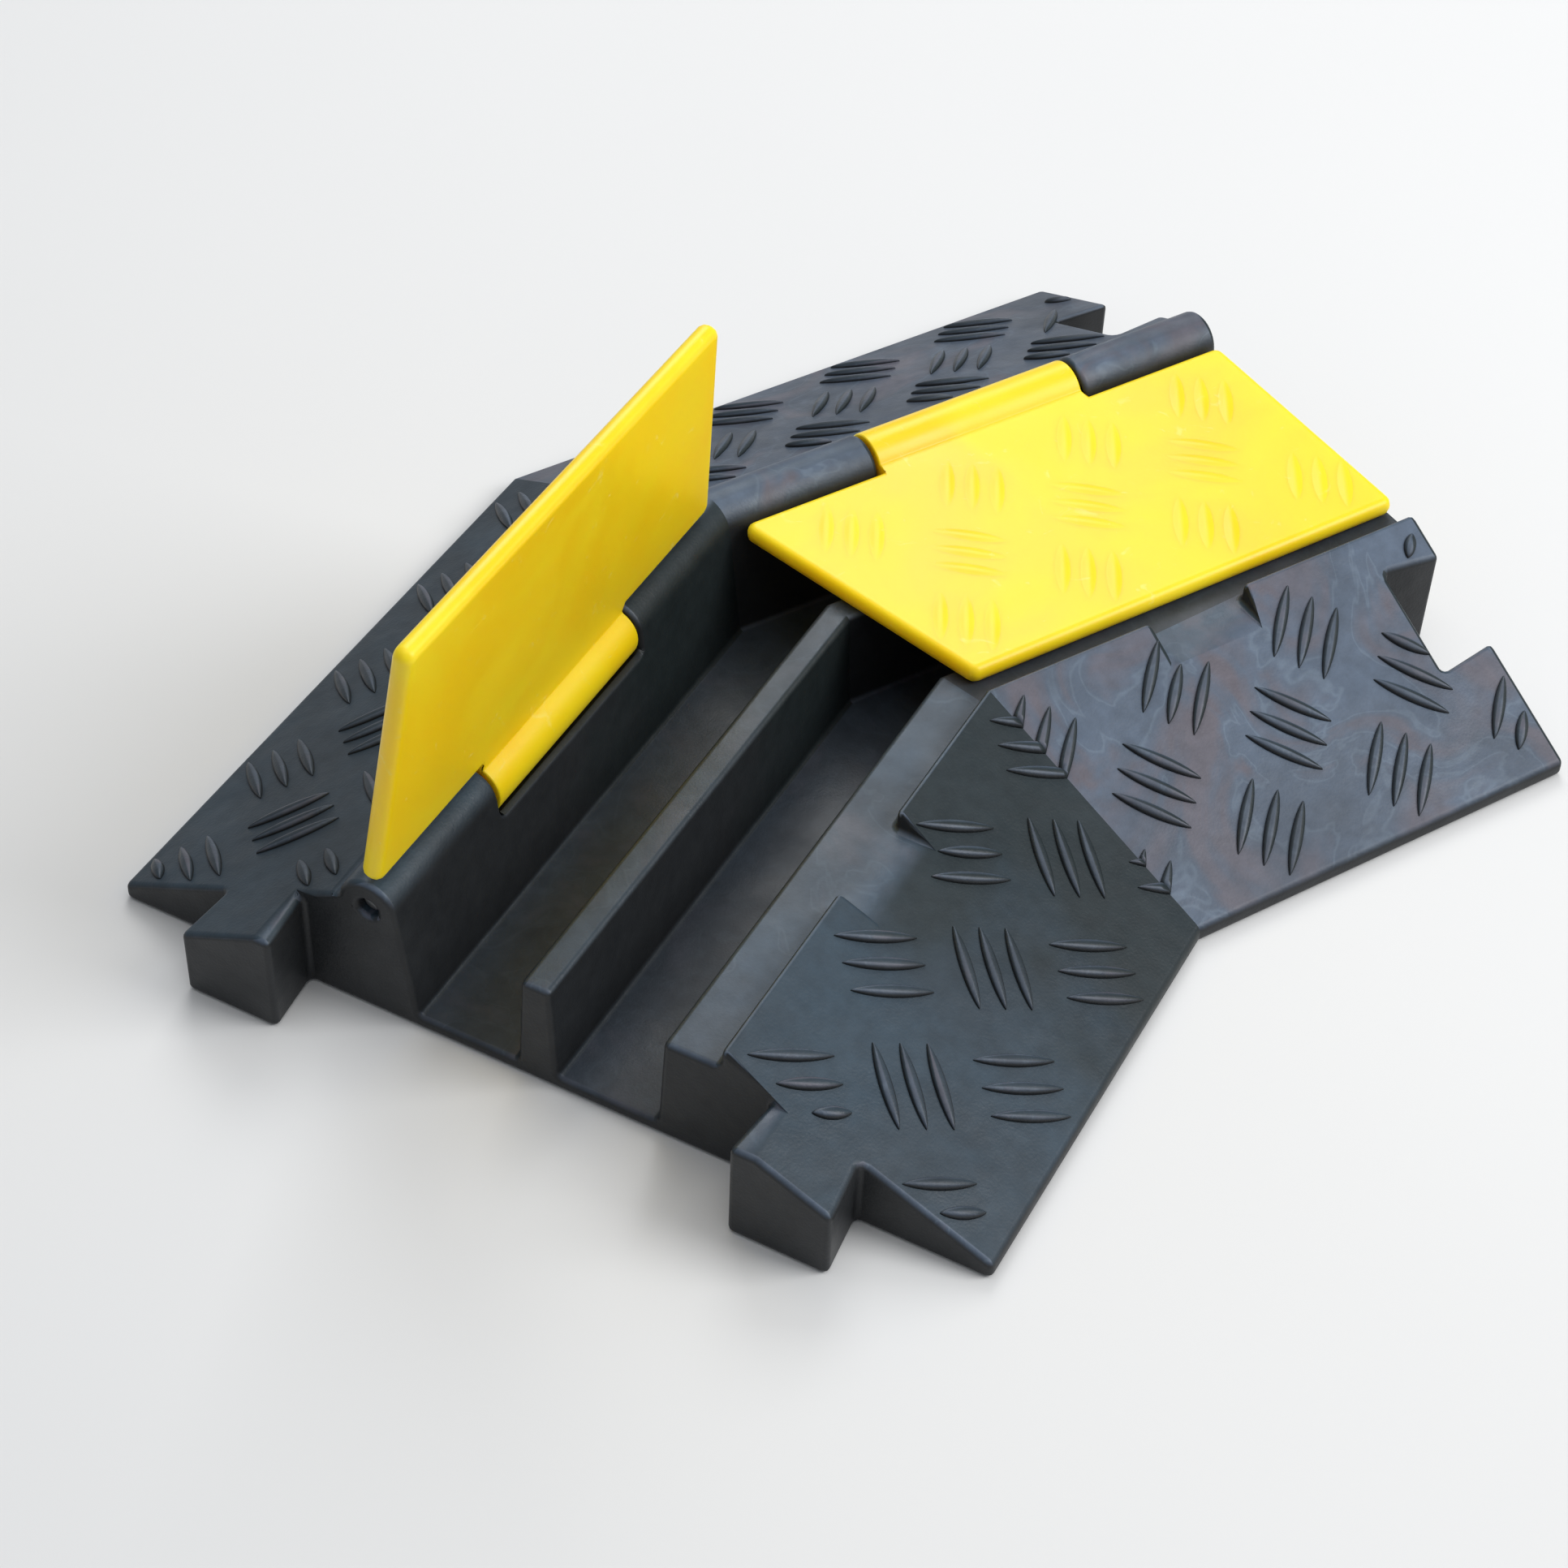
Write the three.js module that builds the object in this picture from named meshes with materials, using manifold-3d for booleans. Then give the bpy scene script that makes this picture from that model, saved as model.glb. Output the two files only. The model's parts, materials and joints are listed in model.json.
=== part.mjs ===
// Floor cord cover, two-channel bend unit with hinged lids. Millimetres, +Z up.
// The black rubber base is a ramp section swept along two straight segments that meet at a mitre.
// A section point has v, its distance behind the front edge, and z, its height above the floor.
// Along a segment, s runs from the front vertex of the bend to the segment's open end.
import * as THREE from 'three';
import { mergeVertices } from 'three/addons/utils/BufferGeometryUtils.js';
import Module from 'manifold-3d';

const wasm = await Module();
wasm.setup();

// Plan
const BEND_DEG = 30;
const FRONT_LENGTH = 125;

// Section, listed from the front edge to the back edge
const FRONT_RUN = 74;
const LEDGE_WIDTH = 15.5;
const FRONT_CHANNEL = 31.3;
const DIVIDER_TOP = 8.4;
const BACK_CHANNEL = 30.6;
const HINGE_SETBACK = 13.2;
const STRIP_REACH = 11.2;
const BACK_RUN = 65.8;

// Heights
const LIP_HEIGHT = 5;
const FLOOR_THICKNESS = 4;
const LEDGE_HEIGHT = 34;
const STRIP_HEIGHT = 36;
const AXIS_HEIGHT = 36.2;

// Wall feet
const WALL_DRAFT = 1.5;
const FOOT_FILLET = 1.6;

// Lids
const LID_THICKNESS = 5.7;
const LID_SEAT_GAP = 0.3;
const LID_FRONT_GAP = 7;
const LID_MITRE_GAP = 2.5;
const LID_END_INSET = 0.6;
const LID_EDGE_ROUND = 2.4;
// The most of a lid's thickness that the rounding of one edge may take
const LID_ROUND_SHARE = 0.45;
// Radius of the flat faces' corners, inside the rounded edge
const LID_FACE_CORNER = 0.6;
const NEAR_LID_OPEN_DEG = 80;

// Hinge
const TUBE_RADIUS = 8.5;
const BARREL_RADIUS = 8.3;
const LID_TUBE_GAP = 1;
const BARREL_START = 6;
const BARREL_LENGTH = 70;
const RECESS_END_GAP = 0.8;
const RECESS_ROUND_GAP = 1;
const RECESS_SILL_DROP = 5.2;
const PIN_RADIUS = 2.5;
const PIN_CLEARANCE = 0.3;
const PIN_END_INSET = 3;
const PIN_GRIP = 14;

// Finger notches
const NOTCH_START = 33.5;
const NOTCH_LENGTH = 31;

// Joining lugs and their sockets
const LUG_FRONT_CENTRE = 48;
const LUG_BACK_CENTRE = 204;
const LUG_ROOT_WIDTH = 23.5;
const LUG_TIP_WIDTH = 27.5;
const LUG_LENGTH = 18;
const LUG_HEIGHT = 30.8;
const SOCKET_CLEARANCE = 0.8;

// Tread bars, raised on the ramps in groups of three on a chequered lattice
const BAR_LENGTH = 22;
const BAR_SHORTEST = 7;
const BAR_WIDTH = 3.6;
const BAR_HEIGHT = 1.5;
const BAR_SPACING = 7.1;
const TREAD_MARGIN = 2.5;
const TREAD_FIRST_ROW = 15.2;
const TREAD_ROW_PITCH = 20.5;
const TREAD_SHEAR = 0.085;
const FRONT_TREAD_START = 31.8;
const FRONT_TREAD_PITCH = 44;
const NEAR_BACK_TREAD_START = 35;
const FAR_BACK_TREAD_START = 5;
const BACK_TREAD_PITCH = 42;

// Facets
const TUBE_ARC_SIDES = 16;
const FILLET_SIDES = 3;
const BARREL_SIDES = 32;
const PIN_SIDES = 16;
const LID_ROUND_SIDES = 3;
const LID_CORNER_SIDES = 4;
const BAR_SIDES = 4;
// Places along a bar's line that are tried for free room
const BAR_STEPS = 48;
// Length by which a cutting or joining solid runs past the face that it meets
const OVERRUN = 5;
// Straight spans of the base, one on each side of the mitre
const SPANS = 2;
// A tread point nearer than this to the mitre lies on it
const MITRE_SNAP = 0.001;

// Places worked out from the sizes
const half = THREE.MathUtils.degToRad(BEND_DEG / 2);
const ledgeV = FRONT_RUN;
const frontWallV = ledgeV + LEDGE_WIDTH;
const dividerFrontV = frontWallV + FRONT_CHANNEL;
const dividerBackV = dividerFrontV + DIVIDER_TOP;
const hingeWallV = dividerBackV + BACK_CHANNEL;
const axisV = hingeWallV + HINGE_SETBACK;
const stripV = axisV + STRIP_REACH;
const width = stripV + BACK_RUN;
const lidUnderside = LEDGE_HEIGHT + LID_SEAT_GAP;
const rimHeight = lidUnderside + LID_THICKNESS;
const lidBackReach = TUBE_RADIUS + LID_TUBE_GAP;
const lidFrontReach = axisV - ledgeV - LID_FRONT_GAP;
const lidRound = Math.min(LID_EDGE_ROUND, LID_THICKNESS * LID_ROUND_SHARE);
const clearHeight = AXIS_HEIGHT + TUBE_RADIUS + OVERRUN;
const mitreS = (v) => -v * Math.tan(half);
const frontRise = (rimHeight - LIP_HEIGHT) / FRONT_RUN;
const backRise = -(STRIP_HEIGHT - LIP_HEIGHT) / BACK_RUN;

// Solids
function toSolid(geometry) {
  const bare = geometry.clone();
  bare.deleteAttribute('normal');
  bare.deleteAttribute('uv');
  const merged = mergeVertices(bare);
  return new wasm.Manifold(new wasm.Mesh({
    numProp: 3,
    vertProperties: new Float32Array(merged.attributes.position.array),
    triVerts: new Uint32Array(merged.index.array),
  }));
}

function toGeometry(solid) {
  const mesh = solid.getMesh();
  const geometry = new THREE.BufferGeometry();
  geometry.setAttribute('position', new THREE.BufferAttribute(new Float32Array(mesh.vertProperties), 3));
  geometry.setIndex(new THREE.BufferAttribute(new Uint32Array(mesh.triVerts), 1));
  geometry.computeVertexNormals();
  return geometry;
}

function mirrored(geometry) {
  const copy = mergeVertices(geometry.clone().deleteAttribute('normal').deleteAttribute('uv'));
  copy.scale(-1, 1, 1);
  const index = copy.index.array;
  for (let i = 0; i < index.length; i += 3) {
    [index[i + 1], index[i + 2]] = [index[i + 2], index[i + 1]];
  }
  copy.computeVertexNormals();
  return copy;
}

function block(s0, s1, v0, v1, z0, z1) {
  const box = new THREE.BoxGeometry(s1 - s0, v1 - v0, z1 - z0);
  return box.translate((s0 + s1) / 2, (v0 + v1) / 2, (z0 + z1) / 2);
}

function rodAlongS(radius, s0, s1, sides) {
  const rod = new THREE.CylinderGeometry(radius, radius, s1 - s0, sides);
  return rod.rotateZ(-Math.PI / 2).translate((s0 + s1) / 2, 0, 0);
}

// Turns a far-segment geometry, drawn with x along s and y along v, into the plan
const toFarPlan = (geometry) => geometry.clone().rotateZ(-half);
const toNearPlan = (geometry) => mirrored(toFarPlan(geometry));

// Base section
function footFillet(shape, fromV, wallV, topV, topZ) {
  const side = Math.sign(wallV - fromV);
  const lean = Math.atan2(Math.abs(topV - wallV), topZ - FLOOR_THICKNESS);
  const opening = Math.PI / 2 + lean * Math.sign(topV - wallV) * side;
  const tangent = FOOT_FILLET / Math.tan(opening / 2);
  const centreV = wallV - side * tangent;
  const centreZ = FLOOR_THICKNESS + FOOT_FILLET;
  const sweep = Math.PI - opening;
  for (let i = 0; i <= FILLET_SIDES; i += 1) {
    const angle = (sweep * i) / FILLET_SIDES;
    shape.push([centreV + side * FOOT_FILLET * Math.sin(angle), centreZ - FOOT_FILLET * Math.cos(angle)]);
  }
}

function tubeArc() {
  const start = Math.asin((STRIP_HEIGHT - AXIS_HEIGHT) / TUBE_RADIUS);
  const footDistance = Math.hypot(HINGE_SETBACK, AXIS_HEIGHT - FLOOR_THICKNESS);
  const footBearing = Math.atan2(AXIS_HEIGHT - FLOOR_THICKNESS, HINGE_SETBACK);
  const end = footBearing + Math.asin(TUBE_RADIUS / footDistance) + Math.PI / 2;
  const points = [];
  for (let i = 0; i <= TUBE_ARC_SIDES; i += 1) {
    const angle = start + ((end - start) * i) / TUBE_ARC_SIDES;
    points.push([axisV + TUBE_RADIUS * Math.cos(angle), AXIS_HEIGHT + TUBE_RADIUS * Math.sin(angle)]);
  }
  return points;
}

function baseSection() {
  const arc = tubeArc();
  const [wallTopV, wallTopZ] = arc[arc.length - 1];
  const hingeFoot = [];
  footFillet(hingeFoot, dividerBackV, hingeWallV, wallTopV, wallTopZ);
  const dividerBackFoot = [];
  footFillet(dividerBackFoot, hingeWallV, dividerBackV + WALL_DRAFT, dividerBackV, LEDGE_HEIGHT);
  const dividerFrontFoot = [];
  footFillet(dividerFrontFoot, frontWallV, dividerFrontV - WALL_DRAFT, dividerFrontV, LEDGE_HEIGHT);
  const frontFoot = [];
  footFillet(frontFoot, dividerFrontV, frontWallV + WALL_DRAFT, frontWallV, LEDGE_HEIGHT);
  const points = [
    [0, 0],
    [width, 0],
    [width, LIP_HEIGHT],
    [stripV, STRIP_HEIGHT],
    ...arc,
    ...hingeFoot.reverse(),
    ...dividerBackFoot,
    [dividerBackV, LEDGE_HEIGHT],
    [dividerFrontV, LEDGE_HEIGHT],
    ...dividerFrontFoot.reverse(),
    ...frontFoot,
    [frontWallV, LEDGE_HEIGHT],
    [ledgeV, LEDGE_HEIGHT],
    [ledgeV, rimHeight],
    [0, LIP_HEIGHT],
  ];
  return new THREE.Shape(points.map(([v, z]) => new THREE.Vector2(v, z)));
}

// Station 0 is the near end, the next is the mitre and the last is the far end
function sweepSection(shape) {
  const geometry = new THREE.ExtrudeGeometry(shape, { depth: SPANS, steps: SPANS, bevelEnabled: false });
  const position = geometry.attributes.position;
  for (let i = 0; i < position.count; i += 1) {
    const v = position.getX(i);
    const z = position.getY(i);
    const side = Math.round(position.getZ(i)) - SPANS / 2;
    const s = side === 0 ? mitreS(v) : FRONT_LENGTH;
    const x = s * Math.cos(half) + v * Math.sin(half);
    const y = v * Math.cos(half) - s * Math.sin(half);
    position.setXYZ(i, side * x, y, z);
  }
  return geometry;
}

// Lugs and sockets
function dovetail(centreV, rootWidth, tipWidth, fromS, rootS, tipS, z0, z1) {
  const plan = new THREE.Shape([
    new THREE.Vector2(fromS, centreV - rootWidth / 2),
    new THREE.Vector2(rootS, centreV - rootWidth / 2),
    new THREE.Vector2(tipS, centreV - tipWidth / 2),
    new THREE.Vector2(tipS, centreV + tipWidth / 2),
    new THREE.Vector2(rootS, centreV + rootWidth / 2),
    new THREE.Vector2(fromS, centreV + rootWidth / 2),
  ]);
  return new THREE.ExtrudeGeometry(plan, { depth: z1 - z0, bevelEnabled: false }).translate(0, 0, z0);
}

function lugs() {
  const frontTopV = (LUG_HEIGHT - LIP_HEIGHT) / frontRise;
  const backTopV = width + (LUG_HEIGHT - LIP_HEIGHT) / backRise;
  const outline = new THREE.Shape([
    new THREE.Vector2(0, 0),
    new THREE.Vector2(width, 0),
    new THREE.Vector2(width, LIP_HEIGHT),
    new THREE.Vector2(backTopV, LUG_HEIGHT),
    new THREE.Vector2(frontTopV, LUG_HEIGHT),
    new THREE.Vector2(0, LIP_HEIGHT),
  ]);
  const rootS = FRONT_LENGTH - OVERRUN;
  const tipS = FRONT_LENGTH + LUG_LENGTH;
  const slice = new THREE.ExtrudeGeometry(outline, { depth: tipS + OVERRUN - rootS, bevelEnabled: false });
  slice.rotateX(Math.PI / 2).rotateZ(Math.PI / 2).translate(rootS, 0, 0);
  const ramps = toSolid(slice);
  const pair = [LUG_FRONT_CENTRE, LUG_BACK_CENTRE].map((centre) => toSolid(dovetail(
    centre, LUG_ROOT_WIDTH, LUG_TIP_WIDTH, rootS, FRONT_LENGTH, tipS, 0, LUG_HEIGHT + OVERRUN,
  )));
  return toGeometry(pair[0].add(pair[1]).intersect(ramps));
}

// A socket is the lug's outline turned round, with clearance on its sides and its end
function sockets() {
  const flare = (LUG_TIP_WIDTH - LUG_ROOT_WIDTH) / LUG_LENGTH;
  const depth = LUG_LENGTH + SOCKET_CLEARANCE;
  const mouth = LUG_ROOT_WIDTH + 2 * SOCKET_CLEARANCE;
  const pair = [LUG_FRONT_CENTRE, LUG_BACK_CENTRE].map((centre) => toSolid(dovetail(
    centre, mouth + flare * depth, mouth, FRONT_LENGTH - depth, FRONT_LENGTH - depth, FRONT_LENGTH,
    -OVERRUN, clearHeight,
  )));
  const lead = [LUG_FRONT_CENTRE, LUG_BACK_CENTRE].map((centre) => toSolid(block(
    FRONT_LENGTH - SOCKET_CLEARANCE, FRONT_LENGTH + OVERRUN, centre - mouth / 2, centre + mouth / 2,
    -OVERRUN, clearHeight,
  )));
  return toGeometry(pair[0].add(pair[1]).add(lead[0]).add(lead[1]));
}

// What the hinge and the fingers need cut out of one segment
function segmentCuts() {
  const recess = { from: BARREL_START - RECESS_END_GAP, to: BARREL_START + BARREL_LENGTH + RECESS_END_GAP };
  const round = rodAlongS(BARREL_RADIUS + RECESS_ROUND_GAP, recess.from, recess.to, BARREL_SIDES);
  const sill = AXIS_HEIGHT - RECESS_SILL_DROP;
  const pocket = block(recess.from, recess.to, hingeWallV - OVERRUN, stripV, sill, clearHeight);
  const boreStart = BARREL_START - RECESS_END_GAP - PIN_GRIP - PIN_CLEARANCE;
  const bore = rodAlongS(PIN_RADIUS + PIN_CLEARANCE, boreStart, FRONT_LENGTH + OVERRUN, PIN_SIDES);
  const notch = block(
    NOTCH_START, NOTCH_START + NOTCH_LENGTH, 0, ledgeV + OVERRUN, LEDGE_HEIGHT, clearHeight,
  );
  return toGeometry(toSolid(round.translate(0, axisV, AXIS_HEIGHT))
    .add(toSolid(pocket))
    .add(toSolid(bore.translate(0, axisV, AXIS_HEIGHT)))
    .add(toSolid(notch)));
}

// The longest free stretch of a bar's line, as its centre and half its length
function freeStretch(middle, heading, isFree) {
  const step = BAR_LENGTH / BAR_STEPS;
  const place = (i) => middle.clone().addScaledVector(heading, (i - BAR_STEPS / 2) * step);
  let run = 0;
  let longest = 0;
  let end = 0;
  for (let i = 0; i <= BAR_STEPS; i += 1) {
    run = isFree(place(i)) ? run + 1 : 0;
    if (run > longest) {
      longest = run;
      end = i;
    }
  }
  return { centre: place(end - (longest - 1) / 2), reach: (longest - 1) * step / 2 };
}

// One ramp's bars: a row's groups run one way, and those of the next row the other way
function treadBars({ firstRow, pitch, start, firstSlant, rise, heightAt, isFree }) {
  const up = new THREE.Vector3(0, -rise, 1).normalize();
  const bars = [];
  for (const row of [-1, 0, 1]) {
    const v = firstRow + (row + 1) * TREAD_ROW_PITCH;
    const slant = row === 0 ? -firstSlant : firstSlant;
    const heading = new THREE.Vector2(1, slant).normalize();
    const aside = new THREE.Vector2(1, -slant).normalize().multiplyScalar(BAR_SPACING);
    const line = new THREE.Vector3(heading.x, heading.y, rise * heading.y);
    const stretch = line.length();
    line.normalize();
    const turned = new THREE.Matrix4().makeBasis(line, up.clone().cross(line), up);
    const firstS = start + (row === 0 ? pitch / 2 : 0) - TREAD_SHEAR * row * TREAD_ROW_PITCH;
    const from = Math.floor((mitreS(width) - firstS) / pitch);
    const to = Math.ceil((FRONT_LENGTH - firstS) / pitch);
    for (let k = from; k <= to; k += 1) {
      for (const j of [-1, 0, 1]) {
        const middle = new THREE.Vector2(firstS + k * pitch, v).addScaledVector(aside, j);
        const { centre, reach } = freeStretch(middle, heading, isFree);
        if (2 * reach >= BAR_SHORTEST) {
          const lens = new THREE.SphereGeometry(1, BAR_SIDES, BAR_SIDES).rotateZ(Math.PI / 2);
          lens.scale(reach * stretch, BAR_WIDTH / 2, BAR_HEIGHT);
          lens.applyMatrix4(turned.setPosition(centre.x, centre.y, heightAt(centre.y)));
          bars.push(toSolid(toFarPlan(lens)));
        }
      }
    }
  }
  return bars;
}

// The bars of a segment's two ramps, cut off at the mitre
function rampTreads(isFar) {
  const endS = FRONT_LENGTH - TREAD_MARGIN;
  const socketS = FRONT_LENGTH - LUG_LENGTH - SOCKET_CLEARANCE - 1;
  const socketReach = LUG_TIP_WIDTH / 2 + 2 * SOCKET_CLEARANCE;
  const notchV = (LEDGE_HEIGHT - LIP_HEIGHT) / frontRise;
  const inSocket = (place, centreV) => (
    isFar && place.x > socketS && Math.abs(place.y - centreV) < socketReach
  );
  const inNotch = (place) => (
    place.y > notchV && place.x > NOTCH_START - 1 && place.x < NOTCH_START + NOTCH_LENGTH + 1
  );
  const front = treadBars({
    firstRow: TREAD_FIRST_ROW,
    pitch: FRONT_TREAD_PITCH,
    start: FRONT_TREAD_START,
    firstSlant: 1,
    rise: frontRise,
    heightAt: (v) => LIP_HEIGHT + frontRise * v,
    isFree: (place) => place.x < endS && place.y > TREAD_MARGIN && place.y < ledgeV - TREAD_MARGIN
      && !inNotch(place) && !inSocket(place, LUG_FRONT_CENTRE),
  });
  const back = treadBars({
    firstRow: width - TREAD_FIRST_ROW - 2 * TREAD_ROW_PITCH,
    pitch: BACK_TREAD_PITCH,
    start: isFar ? FAR_BACK_TREAD_START : NEAR_BACK_TREAD_START,
    firstSlant: -1,
    rise: backRise,
    heightAt: (v) => LIP_HEIGHT + backRise * (v - width),
    isFree: (place) => place.x < endS && place.x > mitreS(place.y) + TREAD_MARGIN
      && place.y > stripV + TREAD_MARGIN && place.y < width - TREAD_MARGIN
      && !inSocket(place, LUG_BACK_CENTRE),
  });
  const bars = [...front, ...back].reduce((sum, next) => sum.add(next)).trimByPlane([1, 0, 0], 0);
  const geometry = toGeometry(bars);
  const position = geometry.attributes.position;
  for (let i = 0; i < position.count; i += 1) {
    if (position.getX(i) < MITRE_SNAP) {
      position.setX(i, 0);
    }
  }
  return isFar ? geometry : mirrored(geometry);
}

function rampBody() {
  const cuts = segmentCuts();
  const solid = toSolid(sweepSection(baseSection()))
    .add(toSolid(rampTreads(true)))
    .add(toSolid(rampTreads(false)))
    .add(toSolid(toNearPlan(lugs())))
    .subtract(toSolid(toFarPlan(sockets())))
    .subtract(toSolid(toFarPlan(cuts)))
    .subtract(toSolid(toNearPlan(cuts)));
  return toGeometry(solid);
}

// A closed plan whose corners, given counterclockwise, are rounded
function roundedPlan(corners, radius) {
  const plan = new THREE.Shape();
  corners.forEach((corner, i) => {
    const back = corners.at(i - 1).clone().sub(corner).normalize();
    const ahead = corners[(i + 1) % corners.length].clone().sub(corner).normalize();
    const inward = back.clone().add(ahead).normalize();
    const centre = inward.clone().multiplyScalar(radius / Math.abs(inward.cross(ahead))).add(corner);
    plan.absarc(
      centre.x, centre.y, radius, Math.atan2(back.x, -back.y), Math.atan2(-ahead.x, ahead.y), false,
    );
  });
  return plan;
}

// A lid, drawn closed for the far segment with its hinge axis on y = 0 and z = 0
function lid() {
  const endS = FRONT_LENGTH - LID_END_INSET;
  const frontS = mitreS(axisV - lidFrontReach) + LID_MITRE_GAP;
  const backS = mitreS(axisV - lidBackReach) + LID_MITRE_GAP;
  const plan = roundedPlan([
    new THREE.Vector2(frontS, -lidFrontReach),
    new THREE.Vector2(endS, -lidFrontReach),
    new THREE.Vector2(endS, -lidBackReach),
    new THREE.Vector2(backS, -lidBackReach),
  ], lidRound + LID_FACE_CORNER);
  const plate = new THREE.ExtrudeGeometry(plan, {
    depth: LID_THICKNESS - 2 * lidRound,
    bevelThickness: lidRound,
    bevelSize: lidRound,
    bevelOffset: -lidRound,
    bevelSegments: LID_ROUND_SIDES,
    curveSegments: LID_CORNER_SIDES / 2,
  });
  const undersideZ = lidUnderside - AXIS_HEIGHT;
  plate.translate(0, 0, undersideZ + lidRound);
  const barrelEnd = BARREL_START + BARREL_LENGTH;
  const web = block(
    BARREL_START, barrelEnd, -lidBackReach - 2 * lidRound, 0, undersideZ, undersideZ + LID_THICKNESS,
  );
  const barrel = rodAlongS(BARREL_RADIUS, BARREL_START, barrelEnd, BARREL_SIDES);
  const bore = rodAlongS(
    PIN_RADIUS + PIN_CLEARANCE, BARREL_START - OVERRUN, barrelEnd + OVERRUN, PIN_SIDES,
  );
  return toGeometry(toSolid(plate).add(toSolid(web)).add(toSolid(barrel)).subtract(toSolid(bore)));
}

function pin() {
  const start = BARREL_START - RECESS_END_GAP - PIN_GRIP;
  return rodAlongS(PIN_RADIUS, start, FRONT_LENGTH - PIN_END_INSET, PIN_SIDES);
}

// Materials
const rubber = () => new THREE.MeshStandardMaterial({ color: 0x3a4046, roughness: 0.62, metalness: 0 });
const yellowPlastic = () => new THREE.MeshStandardMaterial({ color: 0xf6dc1e, roughness: 0.38, metalness: 0 });
const steel = () => new THREE.MeshStandardMaterial({ color: 0x9a9c9e, roughness: 0.35, metalness: 1 });

function named(name, geometry, material) {
  const mesh = new THREE.Mesh(geometry, material);
  mesh.name = name;
  return mesh;
}

// A segment's hinge line as a group: x runs along the line and the group is turned with the segment
function hingeLine(turn, pinMesh, lidMesh, openDeg) {
  const line = new THREE.Group();
  line.rotation.z = turn;
  line.position.set(-axisV * Math.sin(turn), axisV * Math.cos(turn), AXIS_HEIGHT);
  lidMesh.rotation.x = -THREE.MathUtils.degToRad(openDeg);
  line.add(pinMesh, lidMesh);
  return line;
}

const lidGeometry = lid();
const pinGeometry = pin();
const unit = new THREE.Group();
unit.add(
  named('ramp_body', rampBody(), rubber()),
  hingeLine(
    half,
    named('hinge_pin_near', mirrored(pinGeometry), steel()),
    named('lid_near', mirrored(lidGeometry), yellowPlastic()),
    NEAR_LID_OPEN_DEG,
  ),
  hingeLine(
    -half,
    named('hinge_pin_far', pinGeometry, steel()),
    named('lid_far', lidGeometry, yellowPlastic()),
    0,
  ),
);

// The origin is the middle of the unit's box, on the floor
unit.updateMatrixWorld(true);
const middle = new THREE.Box3().setFromObject(unit, true).getCenter(new THREE.Vector3());
unit.position.set(-middle.x, -middle.y, 0);

export default unit;
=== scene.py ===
"""Floor cord cover, a bend unit of moulded rubber with two hinged lids.

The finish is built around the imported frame: the rubber base and the lids get rounded moulded
edges, the tread bars are laid out on the ramps and the lids, and each surface gets its material.
"""
import json
import math

import bmesh
import bpy
from bpy.props import FloatProperty, FloatVectorProperty, PointerProperty, StringProperty
from mathutils import Matrix, Vector


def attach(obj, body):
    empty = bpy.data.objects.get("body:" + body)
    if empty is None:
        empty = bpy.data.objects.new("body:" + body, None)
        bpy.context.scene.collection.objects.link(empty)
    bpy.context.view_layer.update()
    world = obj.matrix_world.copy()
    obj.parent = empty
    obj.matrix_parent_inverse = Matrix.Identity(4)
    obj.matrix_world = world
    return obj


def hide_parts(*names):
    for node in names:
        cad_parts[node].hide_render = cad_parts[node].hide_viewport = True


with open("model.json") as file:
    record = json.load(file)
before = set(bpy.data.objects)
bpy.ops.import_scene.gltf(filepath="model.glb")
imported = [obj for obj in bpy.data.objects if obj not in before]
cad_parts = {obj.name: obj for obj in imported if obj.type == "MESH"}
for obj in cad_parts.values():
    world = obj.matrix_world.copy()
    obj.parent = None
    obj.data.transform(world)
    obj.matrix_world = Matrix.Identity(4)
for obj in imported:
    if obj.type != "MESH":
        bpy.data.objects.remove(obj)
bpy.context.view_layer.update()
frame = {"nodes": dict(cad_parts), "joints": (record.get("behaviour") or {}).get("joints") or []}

bl_info = {
    "name": "Floor Cord Cover",
    "version": (1, 0, 0),
    "blender": (4, 5, 0),
    "location": "View3D > Sidebar > Cord Cover",
    "description": "Floor cord cover, bend unit: rubber base, tread bars, lids and stage",
    "category": "Object",
}

MM = 0.001

# Sizes of the section and the plan that the frame does not name, in metres. Heights are above the
# floor, starts and ends along a segment from the mitre, and the rest behind the front edge.
FRONT_RUN = 74 * MM
RIM_HEIGHT = 40 * MM
LEDGE_HEIGHT = 34 * MM
LIP_HEIGHT = 5 * MM
STRIP_PLACE = 184.2 * MM
STRIP_HEIGHT = 36 * MM
WIDTH = 250 * MM
AXIS_PLACE = 173 * MM
SEGMENT_LENGTH = 125 * MM
NOTCH_START = 33.5 * MM
NOTCH_END = 64.5 * MM
NOTCH_PLACE = 61.3 * MM
SOCKET_START = 105.2 * MM
SOCKET_HALF_WIDTH = 15.35 * MM
FRONT_SOCKET_PLACE = 48 * MM
BACK_SOCKET_PLACE = 204 * MM
LID_FRONT = 81 * MM
LID_BACK = 163.5 * MM
LID_MITRE_GAP = 2.5 * MM
CHANNEL_FRONT = 90 * MM
CHANNEL_BACK = 159.8 * MM
RECESS_START = 5.2 * MM
RECESS_END = 76.8 * MM
DIVIDER_FRONT = 120.8 * MM
DIVIDER_BACK = 129.2 * MM

# How far from the mitre the dark patch starts to fade and ends, and how far its border wanders
DARK_PATCH_START = 40 * MM
DARK_PATCH_END = 80 * MM
DARK_PATCH_WANDER = 25 * MM

# Lower than the ledge and its notches, higher than all that lies below them
BELOW_LEDGE = 33 * MM

# How much painted shade the rubber gets where shade falls, from 0 in the open to 1, and how far its
# rounded edges reach
FULL_SHADE = 1.0
CHANNEL_SHADE = 0.8
DIVIDER_SHADE = 0.5
ROUND_MARGIN = 1 * MM
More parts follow.
